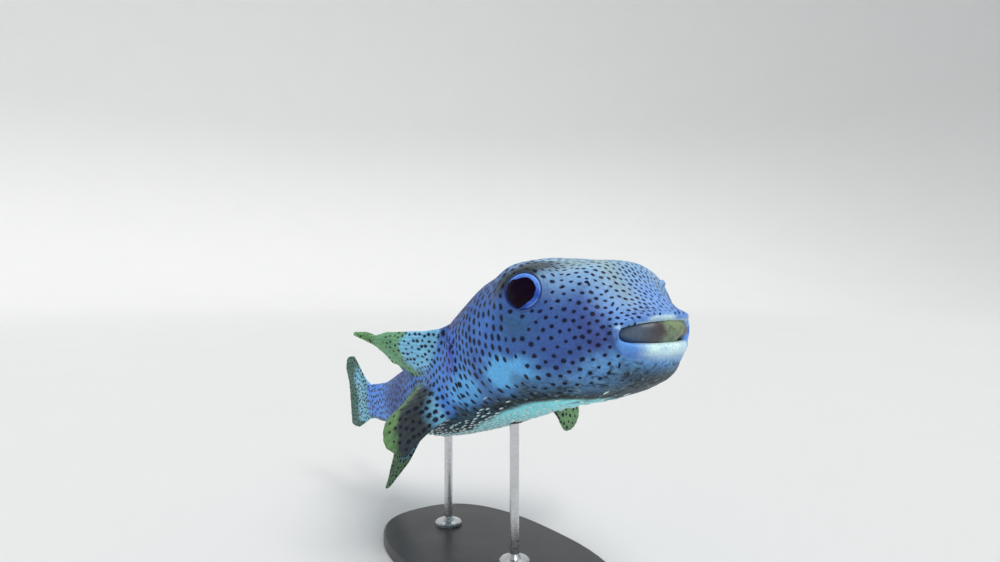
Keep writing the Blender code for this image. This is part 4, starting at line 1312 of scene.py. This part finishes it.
def skinMaterial():
    made, tree, shader, where = newMaterial("spotted skin")
    tone = attribute(tree, "tone", "Color")
    mottle = attribute(tree, "mottle")
    bare = attribute(tree, "bare")
    broad = noiseOf(tree, 48.0, 4.0, 0.6, 0.4, where)
    fine = noiseOf(tree, skinLook["softScale"], 3.0, 0.6, 0.0, where)
    grain = noiseOf(tree, 1500.0, 2.0, 0.5, 0.0, where)
    colour = mixColour(tree, remap(tree, broad, 0.40, 0.66, 0.0, 0.30), tone, skinLook["dusk"], "MULTIPLY")
    speckle = remap(tree, fine, 0.35, 0.70, 0.86, 1.14, "LINEAR")
    colour = mixColour(tree, 1.0, colour, greyOf(tree, speckle), "MULTIPLY")
    stretch = stretched(tree, where, (0.36, 0.80, 1.0))
    blotch = noiseOf(tree, 290.0, 4.0, 0.62, 0.4, stretch)
    fleck = noiseOf(tree, 420.0, 3.0, 0.60, 0.5, stretch)
    dark, pale = skinLook["mottleStrength"]
    darkPart = calc(tree, "MULTIPLY", mottle, remap(tree, blotch, 0.46, 0.64))
    colour = mixColour(tree, calc(tree, "MULTIPLY", darkPart, dark), colour, skinLook["mottleDark"])
    palePart = calc(tree, "MULTIPLY", mottle, remap(tree, fleck, 0.53, 0.70))
    colour = mixColour(tree, calc(tree, "MULTIPLY", palePart, pale), colour, skinLook["mottlePale"])
    spot = attribute(tree, "spot", "Vector")
    parts = addNode(tree, "ShaderNodeSeparateXYZ", None, Vector=spot)
    x, y, strength = parts.outputs[0], parts.outputs[1], parts.outputs[2]
    far = calc(tree, "SQRT", calc(tree, "ADD", calc(tree, "MULTIPLY", x, x), calc(tree, "MULTIPLY", y, y)))
    torn = remap(tree, noiseOf(tree, 900.0, 2.0, 0.5, 0.0, where), 0.2, 0.8, -0.28, 0.28, "LINEAR")
    ragged = calc(tree, "ADD", far, torn)
    inSpot = calc(tree, "MULTIPLY", remap(tree, ragged, 1.12, 0.90), strength, clamp=True)
    halo = calc(tree, "MULTIPLY", remap(tree, far, 1.9, 1.0), skinLook["haloStrength"])
    colour = mixColour(tree, halo, colour, skinLook["halo"], "MULTIPLY")
    colour = mixColour(tree, inSpot, colour, skinLook["spotColour"])
    rough = remap(tree, broad, 0.3, 0.7, skinLook["roughness"] - 0.06, skinLook["roughness"] + 0.08, "LINEAR")
    smoother = calc(tree, "MULTIPLY", bare, skinLook["lipRoughness"] - skinLook["roughness"])
    rough = calc(tree, "ADD", rough, smoother)
    pebbles = addNode(tree, "ShaderNodeTexVoronoi", {"feature": "F1"}, Scale=skinLook["pebbleScale"],
                      Vector=where).outputs["Distance"]
    skinBump = calc(tree, "ADD", calc(tree, "MULTIPLY", pebbles, -0.5), calc(tree, "MULTIPLY", grain, 0.5))
    skinBump = calc(tree, "SUBTRACT", skinBump, calc(tree, "MULTIPLY", inSpot, 0.35))
    flat = calc(tree, "SUBTRACT", 1.0, calc(tree, "MULTIPLY", bare, 0.85))
    normal = bumpOf(tree, calc(tree, "MULTIPLY", skinBump, flat), skinLook["pebbleDepth"])
    normal = bumpOf(tree, calc(tree, "MULTIPLY", fine, flat), skinLook["softDepth"], 0.8, normal)
    feed(tree, shader, Base_Color=colour, Roughness=rough, Normal=normal, Subsurface_Weight=0.08,
         Subsurface_Radius=(0.6, 0.7, 1.0), Subsurface_Scale=0.003, Specular_IOR_Level=0.22)
    return made


def spineMaterial():
    made, tree, shader, where = newMaterial("folded spines")
    tone = attribute(tree, "tone", "Color")
    fine = noiseOf(tree, 700.0, 3.0, 0.6, 0.0, where)
    shade = remap(tree, fine, 0.3, 0.7, 0.80, 1.12, "LINEAR")
    feed(tree, shader, Base_Color=mixColour(tree, 1.0, tone, greyOf(tree, shade), "MULTIPLY"),
         Roughness=remap(tree, fine, 0.3, 0.7, 0.30, 0.46, "LINEAR"), Normal=bumpOf(tree, fine, 0.00012))
    return made


# the eyeballs: a wide pupil in a blue ring

iris = {
    "rings": 88, "segments": 144, "pupil": 0.655, "pupilDepth": 0.00035, "pupilMiddle": (-0.060, -0.050),
    "tilt": 13.0,
    # the pupil's outline: how much it is drawn out, around which angle, and how widely
    "outline": ((0.21, 142, 20), (0.10, 166, 16), (-0.02, 104, 18), (0.11, 60, 24), (0.06, 18, 24),
                (0.15, 258, 19), (-0.10, 305, 32), (0.02, 205, 30)),
    "pupilColour": (0.0055, 0.0006, 0.0080), "ringColour": (0.030, 0.088, 0.480),
    "ringPaleLit": (0.118, 0.290, 0.890), "ringShade": (0.016, 0.018, 0.120),
    "edgeColour": (0.014, 0.022, 0.150), "rimLight": (0.220, 0.470, 0.950),
    "fleckColour": (0.03, 0.05, 0.22), "roughness": 0.10, "shine": 0.07,
}


def pupilEdge(turn):
    # flat above with a corner at the back, drawn to a point below
    degrees = (np.degrees(turn) + iris["tilt"]) % 360
    edge = 1 + sum(amount * bump(degrees, at, width) for amount, at, width in iris["outline"])
    return iris["pupil"] * (edge + 0.010 * np.sin(7 * turn) + 0.006 * np.sin(13 * turn + 1))


def buildEye(name, side):
    ahead, up, out, _, centre = eyeFrame(side)
    turn = 2 * np.pi * np.arange(iris["segments"]) / iris["segments"]
    front = np.sin(np.linspace(0.012, 1, iris["rings"]) * np.pi / 2)
    reach = np.concatenate([front, front[::-4][1:]])
    faceOn = np.arange(len(reach)) < len(front)
    a = reach[:, None] * np.cos(turn)[None, :]
    c = reach[:, None] * np.sin(turn)[None, :]
    fromPupil = a - iris["pupilMiddle"][0], c - iris["pupilMiddle"][1]
    q = np.hypot(*fromPupil) / pupilEdge(np.arctan2(fromPupil[1], fromPupil[0]))
    q = np.where(faceOn[:, None], q, 2.0)
    height = eye["halfDepth"] * np.sqrt(np.clip(1 - reach**2, 0, 1)) * np.where(faceOn, 1.0, -1.0)
    height = height[:, None]
    fibres = 0.00005 * np.sin(46 * turn + 3 * np.sin(5 * turn))[None, :]
    fibres = fibres * smooth(1.0, 1.1, q) * smooth(1.42, 1.3, q)
    height = height + fibres - iris["pupilDepth"] * smooth(1.06, 0.97, q) + 0.00018 * bump(q, 1.09, 0.05)
    points = (centre + (a * eye["halfLength"])[..., None] * ahead + (c * eye["halfHeight"])[..., None] * up
              + height[..., None] * out)
    flat = np.concatenate([points.reshape(-1, 3), points[[0, -1]].mean(axis=1)])
    uv = np.stack([np.where(faceOn, 0.25, 0.75)[:, None] + 0.24 * a, 0.5 + 0.48 * c], axis=-1).reshape(-1, 2)
    uv = np.concatenate([uv, [[0.25, 0.5], [0.75, 0.5]]])
    faces = tubeFaces(reach.size, turn.size)
    if not facesLookOut(flat, faces, centre):
        faces = faces[:, ::-1]
    ball = meshObject(name, toWorld(flat), faces, uv[faces])
    # painted light on the blue ring: lit on top, in shade low at the back, with a lesser lit patch low at the
    # front
    degrees = np.degrees(turn) + iris["tilt"]
    litSide = 0.25 + 0.75 * smooth(0.25, 0.95, 0.5 + 0.5 * np.cos(np.radians(degrees - 92)))
    litSide = litSide * (1 - 0.95 * bump(degrees % 360, 200, 42))
    litSide = np.maximum(litSide, 0.62 * bump(degrees % 360, 312, 34))
    addValues(ball, "pupil", np.append(q, [0.0, 2.0]))
    addValues(ball, "reach", np.append(0 * q + reach[:, None], [0.0, 0.0]))
    addValues(ball, "litSide", np.append(0 * q + litSide[None, :], [0.0, 0.0]))
    return ball


def eyeMaterial():
    made, tree, shader, where = newMaterial("fish eye")
    pupil = attribute(tree, "pupil")
    reach = attribute(tree, "reach")
    litSide = attribute(tree, "litSide")
    flecks = noiseOf(tree, 750.0, 3.0, 0.6, 1.2, where)
    cloud = noiseOf(tree, 300.0, 2.0, 0.5, 0.5, where)
    # the ring goes from its painted shade colour to its own colour and, where lit, to pale, with a painted
    # rim light near its edge
    ring = mixColour(tree, remap(tree, litSide, 0.0, 0.35), iris["ringShade"], iris["ringColour"])
    pale = calc(tree, "MULTIPLY", remap(tree, litSide, 0.25, 0.95), remap(tree, cloud, 0.30, 0.62, 0.45, 1.0))
    ring = mixColour(tree, pale, ring, iris["ringPaleLit"])
    light = calc(tree, "MULTIPLY", remap(tree, reach, 0.745, 0.785), remap(tree, litSide, 0.20, 0.60))
    ring = mixColour(tree, calc(tree, "MULTIPLY", light, 0.6), ring, iris["rimLight"])
    dark = calc(tree, "MULTIPLY", remap(tree, flecks, 0.60, 0.68), remap(tree, pupil, 1.30, 1.04))
    ring = mixColour(tree, calc(tree, "MULTIPLY", dark, 0.6), ring, iris["fleckColour"])
    ring = mixColour(tree, remap(tree, reach, 0.800, 0.845), ring, iris["edgeColour"])
    edge = calc(tree, "ADD", pupil, remap(tree, flecks, 0.3, 0.7, -0.02, 0.02, "LINEAR"))
    colour = mixColour(tree, remap(tree, edge, 1.03, 0.99), ring, iris["pupilColour"])
    feed(tree, shader, Base_Color=colour, Roughness=iris["roughness"],
         Specular_IOR_Level=iris["shine"])
    return made


# the beak: two worn plates behind the lips

beak = {
    # deep is behind the lips; top and bottom are the plate's edges at the middle of the mouth
    "plates": {
        "beak_upper": {"replaces": "tooth_plate_upper", "deep": 0.0056, "top": 0.0030, "bottom": -0.0168,
                       "chip": 0.0022},
        "beak_lower": {"replaces": "tooth_plate_lower", "deep": 0.0112, "top": -0.0098, "bottom": -0.0205,
                       "chip": 0.0012},
    },
    "halfWidth": 0.0296, "drawnBack": 0.0170, "thick": 0.0042, "crown": 0.0032, "lean": 0.0040,
    "steps": 160, "around": 36,
    "chipped": (0.28, 0.38, 0.54, 0.66),           # where the biting edge is chipped, left of its middle
    "front": (0.165, 0.240, 0.145), "between": (0.062, 0.048, 0.058), "side": (0.080, 0.122, 0.182),
    "paleAndHighlight": (0.320, 0.400, 0.185), "stain": (0.050, 0.036, 0.034),
    "shadeAtTop": (0.020, 0.018, 0.024), "shadeAtBottom": (0.030, 0.024, 0.024),
    "spotColour": (0.030, 0.020, 0.016), "gapShadeAt": (0.50, -0.35), "gapShadeWide": (0.11, 0.42),
}


def buildPlate(name, plate):
    t = np.linspace(-1, 1, beak["steps"])[:, None]
    turn = 2 * np.pi * np.arange(beak["around"])[None, :] / beak["around"]
    middle = (plate["top"] + plate["bottom"]) / 2
    half = (plate["top"] - plate["bottom"]) / 2
    rise = body["mouthCornerRise"] * 0.86 * np.abs(t)**3
    tall = half * (1 - 0.42 * t**4)
    thick = beak["thick"] / 2 * (1 - 0.35 * t**6)
    cut = -1.0 if plate["top"] > 0 else 1.0                  # which edge bites
    lift = np.sign(np.sin(turn)) * np.abs(np.sin(turn)) ** 0.75
    bulge = np.sign(np.cos(turn)) * np.abs(np.cos(turn)) ** 0.8
    taper = 1 - 0.55 * smooth(0.2, 1.0, lift * cut)
    growth = 0.00007 * np.sin(lift * 22 + 2 * t) + 0.00004 * np.sin(t * 47 + 3 * np.sin(t * 5))
    tangentX, tangentY = -3 * beak["drawnBack"] * t * np.abs(t), np.full_like(t, beak["halfWidth"])
    length = np.hypot(tangentX, tangentY)
    outX, outY = tangentY / length, -tangentX / length
    off = bulge * (thick * taper + growth * (bulge > 0)) - beak["thick"] / 2 + beak["crown"] * (1 - lift**2)
    lean = beak["lean"] * smooth(0.0, -1.0, lift) if plate["top"] > 0 else 0.0
    x = -plate["deep"] - beak["drawnBack"] * np.abs(t)**3 + outX * off - lean
    y = beak["halfWidth"] * t + outY * off
    a, b, c, d = beak["chipped"]
    worn = plate["chip"] * smooth(a, b, t) * (1 - smooth(c, d, t)) + 0.0004 * np.sin(9 * t + 1) ** 2
    z = middle + rise + lift * tall - cut * worn * smooth(-0.1, 1.0, lift * cut)
    points = np.stack([x, y + 0 * z, z + 0 * x], axis=-1)
    rows, columns = t.size, turn.size
    uv = np.stack(np.meshgrid(np.linspace(0.01, 0.99, rows), np.abs(2 * np.arange(columns) / columns - 1),
                              indexing="ij"), axis=-1).reshape(-1, 2)
    flat = np.concatenate([points.reshape(-1, 3), points[[0, -1]].mean(axis=1)])
    uv = np.concatenate([uv, [[0.005, 0.5], [0.995, 0.5]]])
    faces = tubeFaces(rows, columns)
    if not facesLookOut(flat, faces, flat.mean(axis=0)):
        faces = faces[:, ::-1]
    made = meshObject(name, toWorld(flat), faces, uv[faces])
    addValues(made, "across", np.append(t + 0 * z, [-1.0, 1.0]))
    addValues(made, "height", np.append(lift + 0 * z, [0.0, 0.0]))
    return made


def beakMaterial():
    made, tree, shader, where = newMaterial("beak enamel")
    across = attribute(tree, "across")
    height = attribute(tree, "height")
    cloud = noiseOf(tree, 150.0, 4.0, 0.6, 0.6, where)
    streaks = noiseOf(tree, 420.0, 3.0, 0.6, 0.0, stretched(tree, where, (1.0, 1.0, 0.22)))
    aside = calc(tree, "ABSOLUTE", calc(tree, "SUBTRACT", across, 0.14))
    aside = calc(tree, "ADD", aside, remap(tree, cloud, 0.3, 0.7, -0.08, 0.08, "LINEAR"))
    # darker and greyer towards the corners of the mouth: brown and grey tone, partly painted shade deep in
    # the mouth
    colour = mixColour(tree, remap(tree, aside, 0.20, 0.46), beak["front"], beak["between"])
    colour = mixColour(tree, remap(tree, aside, 0.45, 0.95), colour, beak["side"])
    # painted highlight on the front of the plates and their upper parts, where the light falls
    shine = calc(tree, "MULTIPLY", remap(tree, aside, 0.34, 0.10), remap(tree, height, -0.4, 0.5))
    colour = mixColour(tree, calc(tree, "MULTIPLY", shine, 0.7), colour, beak["paleAndHighlight"])
    stain = calc(tree, "MULTIPLY", remap(tree, cloud, 0.52, 0.70), 0.55)
    colour = mixColour(tree, stain, colour, beak["stain"])
    # painted shade along the plate's top and bottom edges, where they tuck behind the lips and meet the other
    # plate
    colour = mixColour(tree, remap(tree, height, 0.62, 0.86, 0.0, 0.85), colour, beak["shadeAtTop"])
    colour = mixColour(tree, remap(tree, height, -0.82, -0.97, 0.0, 0.60), colour, beak["shadeAtBottom"])
    streaky = remap(tree, streaks, 0.35, 0.75, 0.0, 0.30)
    colour = mixColour(tree, streaky, colour, (0.45, 0.45, 0.45), "MULTIPLY")
    # a dark patch low on the left of the front: painted shade where the gap between the plates opens into the
    # mouth
    off = calc(tree, "MULTIPLY", calc(tree, "SUBTRACT", across, beak["gapShadeAt"][0]), 1 / beak["gapShadeWide"][0])
    low = calc(tree, "MULTIPLY", calc(tree, "SUBTRACT", height, beak["gapShadeAt"][1]), 1 / beak["gapShadeWide"][1])
    gapShade = calc(tree, "ADD", calc(tree, "MULTIPLY", off, off), calc(tree, "MULTIPLY", low, low))
    gapShade = calc(tree, "ADD", gapShade, remap(tree, cloud, 0.3, 0.7, -0.3, 0.3, "LINEAR"))
    colour = mixColour(tree, remap(tree, gapShade, 1.4, 0.5, 0.0, 0.9), colour, beak["spotColour"])
    feed(tree, shader, Base_Color=colour, Roughness=remap(tree, streaks, 0.3, 0.7, 0.30, 0.44, "LINEAR"),
         Normal=bumpOf(tree, streaks, 0.00012), Coat_Weight=0.15, Coat_Roughness=0.20)
    return made


# the stand: painted base, steel rods, a rubber washer where each rod goes in

stand = {
    "paint": (0.030, 0.031, 0.034), "paintDusty": (0.050, 0.050, 0.052), "paintWorn": (0.110, 0.110, 0.115),
    "steel": (0.62, 0.63, 0.65), "steelDull": (0.48, 0.49, 0.51),
}


def paintMaterial():
    made, tree, shader, where = newMaterial("satin stand paint")
    orange = noiseOf(tree, 620.0, 2.0, 0.5, 0.0, where)
    dust = noiseOf(tree, 28.0, 5.0, 0.65, 0.3, where)
    scuff = noiseOf(tree, 1900.0, 2.0, 0.6, 0.0, stretched(tree, where, (0.03, 1.0, 1.0)))
    edge = addNode(tree, "ShaderNodeNewGeometry").outputs["Pointiness"]
    worn = calc(tree, "MULTIPLY", remap(tree, edge, 0.53, 0.60), remap(tree, dust, 0.45, 0.62))
    colour = mixColour(tree, remap(tree, dust, 0.35, 0.75, 0.0, 0.35), stand["paint"], stand["paintDusty"])
    colour = mixColour(tree, calc(tree, "MULTIPLY", worn, 0.6), colour, stand["paintWorn"])
    rough = calc(tree, "ADD", remap(tree, dust, 0.3, 0.7, 0.30, 0.42, "LINEAR"),
                 remap(tree, scuff, 0.6, 0.8, 0.0, 0.10, "LINEAR"))
    feed(tree, shader, Base_Color=colour, Roughness=rough, Normal=bumpOf(tree, orange, 0.00006))
    return made


def steelMaterial():
    made, tree, shader, where = newMaterial("brushed steel")
    rings = noiseOf(tree, 2200.0, 2.0, 0.6, 0.0, stretched(tree, where, (0.04, 0.04, 1.0)))
    cloud = noiseOf(tree, 90.0, 3.0, 0.5, 0.0, where)
    colour = mixColour(tree, remap(tree, cloud, 0.3, 0.7, 0.0, 0.3), stand["steel"], stand["steelDull"])
    feed(tree, shader, Base_Color=colour, Metallic=1.0, Normal=bumpOf(tree, rings, 0.00003),
         Roughness=remap(tree, rings, 0.3, 0.7, 0.20, 0.36, "LINEAR"))
    return made


collar = {
    "rodRadius": 0.0040, "thick": 0.0014, "tall": 0.0010, "sunk": 0.0002, "turns": 48, "sections": 16,
    "colour": (0.020, 0.020, 0.022), "dusty": (0.055, 0.055, 0.058),
}


def collarFor(node, skinTree):
    # a small soft washer where a rod goes into the belly
    low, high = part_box(node)
    x = (low.x + high.x) / 2
    hit = skinTree.ray_cast(Vector((x, 0.0, 0.02)), Vector((0.0, 0.0, 1.0)))
    point, normal = hit[0], hit[1].normalized()
    turns, sections = collar["turns"], collar["sections"]
    ringPoints = []
    for i in range(turns):
        a = 2 * math.pi * i / turns
        for j in range(sections):
            b = 2 * math.pi * j / sections
            radius = collar["rodRadius"] + collar["thick"] * (1 + math.cos(b))
            x2, y2 = x + radius * math.cos(a), radius * math.sin(a)
            slope = -(normal.x * (x2 - x) + normal.y * y2) / normal.z
            ringPoints.append((x2, y2, point.z + slope - collar["sunk"] + collar["tall"] * math.sin(b)))
    faces = gridFaces(turns + 1, sections) % (turns * sections)      # the last ring meets the first
    return meshObject(node + "_collar", np.array(ringPoints), faces)


def rubberMaterial():
    made, tree, shader, where = newMaterial("collar rubber")
    grain = noiseOf(tree, 1600.0, 3.0, 0.6, 0.0, where)
    feed(tree, shader, Base_Color=mixColour(tree, grain, collar["colour"], collar["dusty"]),
         Roughness=remap(tree, grain, 0.3, 0.7, 0.50, 0.68, "LINEAR"), Normal=bumpOf(tree, grain, 0.00006))
    return made


# the fish is put together

skin = SkinMesh()
base = buildBody(skin)
print("body skin:", skin.count, "points")
finSheets = [buildFin(skin, fin, base) for fin in fins.values()]
for side in (1, -1):
    buildNostril(skin, side, base)
print("with fins and nostrils:", skin.count, "points")

plans = planSpines(base)
allPoints, allFaces = np.concatenate(skin.points), np.concatenate(skin.faces)
bodyNormals = np.zeros_like(base["points"])
for corner in range(4):
    a, b, c = (base["points"][base["faces"][:, (corner + s) % 4]] for s in (0, 1, 3))
    np.add.at(bodyNormals, base["faces"][:, corner], np.cross(b - a, c - a))
lift = sheathRelief(base["points"], plans)
allPoints[:len(lift)] += unit(bodyNormals) * lift[:, None]
spotRows = gatherSpots(base, finSheets)
print("spots:", len(spotRows), "spines:", len(plans))
used, usedFaces = np.unique(allFaces, return_inverse=True)
usedFaces = usedFaces.reshape(allFaces.shape)
skinObject = meshObject("porcupinefish_skin", toWorld(allPoints[used]), usedFaces, np.concatenate(skin.uvs))
addValues(skinObject, "tone", np.concatenate(skin.tone)[used], "FLOAT_COLOR")
addValues(skinObject, "mottle", np.concatenate(skin.mottle)[used])
addValues(skinObject, "bare", np.concatenate(skin.smoothSkin)[used])
cornerSpots = spotValues(allPoints, allFaces, spotRows).reshape(-1, 3)
addValues(skinObject, "spot", cornerSpots, "FLOAT_VECTOR", "CORNER")
skinObject.data.materials.append(skinMaterial())
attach(skinObject, "root")
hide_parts("head", "lower_jaw", "trunk", "tail_peduncle", "pectoral_fin_right",
            "pectoral_fin_left", "dorsal_fin", "anal_fin", "caudal_fin")


def rootUv(index):
    return base["uvs"][index % len(base["faces"])].mean(axis=0)


coat = buildSpines(plans, base["tree"], rootUv)
coat.data.transform(fishMatrix)
coat.data.materials.append(spineMaterial())
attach(coat, "root")
print("skin and spines made")

eyeLook = eyeMaterial()
for side, word in ((1, "left"), (-1, "right")):
    ball = buildEye("eyeball_" + word, side)
    ball.data.materials.append(eyeLook)
    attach(ball, "root")
    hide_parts("eye_" + word)
beakLook = beakMaterial()
for name, plate in beak["plates"].items():
    made = buildPlate(name, plate)
    made.data.materials.append(beakLook)
    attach(made, "root")
    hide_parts(plate["replaces"])
print("eyes and beak made")

paintLook, steelLook, rubberLook = paintMaterial(), steelMaterial(), rubberMaterial()
skinTree = BVHTree.FromPolygons(toWorld(base["points"]).tolist(), inTriangles(base["faces"]).tolist())
for name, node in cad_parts.items():
    if name.startswith("stand_"):
        node.data.materials.clear()
        node.data.materials.append(paintLook if name == "stand_base" else steelLook)
for name in ("stand_rod_front", "stand_rod_rear"):
    washer = collarFor(name, skinTree)
    washer.data.materials.append(rubberLook)
    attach(washer, "root")
print("stand finished")

# studio: a pale floor that curves up all round, soft lights, and the camera

studio = {
    "flat": 5.0, "curve": 2.0, "wall": 3.5, "turns": 96, "bend": 12,
    "floorColour": (0.80, 0.80, 0.79), "floorShade": (0.77, 0.77, 0.765),
    "lens": 23.4, "turn": 54.28, "cameraFromSnout": (0.2729, -0.3329, 0.0237),
    "world": (0.86, 0.92, 1.0), "worldStrength": 0.42,
    # way the light comes from, softness in degrees, strength, colour
    "suns": {
        "key": ((0.55, 0.00, 1.0), 40.0, 2.0, (1.0, 0.99, 0.97)),
        "back": ((-0.8, 0.7, 0.9), 50.0, 0.5, (1.0, 1.0, 1.0)),
    },
}


def buildFloor():
    profile = [(0.02, 0.0), (0.5, 0.0), (1.5, 0.0), (studio["flat"], 0.0)]
    for k in range(1, studio["bend"] + 1):
        a = math.pi / 2 * k / studio["bend"]
        profile.append((studio["flat"] + studio["curve"] * math.sin(a), studio["curve"] * (1 - math.cos(a))))
    profile.append((studio["flat"] + studio["curve"], studio["curve"] + studio["wall"]))
    turns = studio["turns"]
    points = [(0.0, 0.0, 0.0)]
    for radius, height in profile:
        for i in range(turns):
            a = 2 * math.pi * i / turns
            points.append((radius * math.cos(a), radius * math.sin(a), height - 0.0002))
    mesh = bpy.data.meshes.new("studio_floor")
    faces = [(0, 1 + i, 1 + (i + 1) % turns) for i in range(turns)]
    for row in range(len(profile) - 1):
        for i in range(turns):
            a, b = 1 + row * turns + i, 1 + row * turns + (i + 1) % turns
            faces.append((a, a + turns, b + turns, b))
    mesh.from_pydata(points, [], faces)
    mesh.shade_smooth()
    made, tree, shader, where = newMaterial("studio floor")
    cloud = noiseOf(tree, 3.0, 4.0, 0.6, 0.0, where)
    feed(tree, shader, Base_Color=mixColour(tree, cloud, studio["floorColour"], studio["floorShade"]),
         Roughness=0.75)
    mesh.materials.append(made)
    floor = bpy.data.objects.new("studio_floor", mesh)
    bpy.context.scene.collection.objects.link(floor)


def buildLights():
    for name, (way, softness, strength, colour) in studio["suns"].items():
        lamp = bpy.data.lights.new(name, "SUN")
        lamp.angle = math.radians(softness)
        lamp.energy = strength
        lamp.color = colour
        holder = bpy.data.objects.new(name, lamp)
        holder.rotation_euler = Vector(way).to_track_quat("Z", "Y").to_euler()
        bpy.context.scene.collection.objects.link(holder)
    world = bpy.data.worlds.new("studio air")
    world.use_nodes = True
    world.node_tree.nodes["Background"].inputs["Color"].default_value = (*studio["world"], 1.0)
    world.node_tree.nodes["Background"].inputs["Strength"].default_value = studio["worldStrength"]
    bpy.context.scene.world = world


def buildCamera():
    lens = bpy.data.cameras.new("camera")
    lens.lens = studio["lens"]
    lens.sensor_width = 36.0
    lens.clip_start = 0.01
    holder = bpy.data.objects.new("camera", lens)
    holder.location = Vector(pose["snout"]) + Vector(studio["cameraFromSnout"])
    holder.rotation_euler = (math.radians(90), 0.0, math.radians(studio["turn"]))
    bpy.context.scene.collection.objects.link(holder)
    bpy.context.scene.camera = holder
    bpy.context.scene.view_settings.view_transform = "Standard"


buildFloor()
buildLights()
buildCamera()
print("studio set")

bpy.context.view_layer.update()
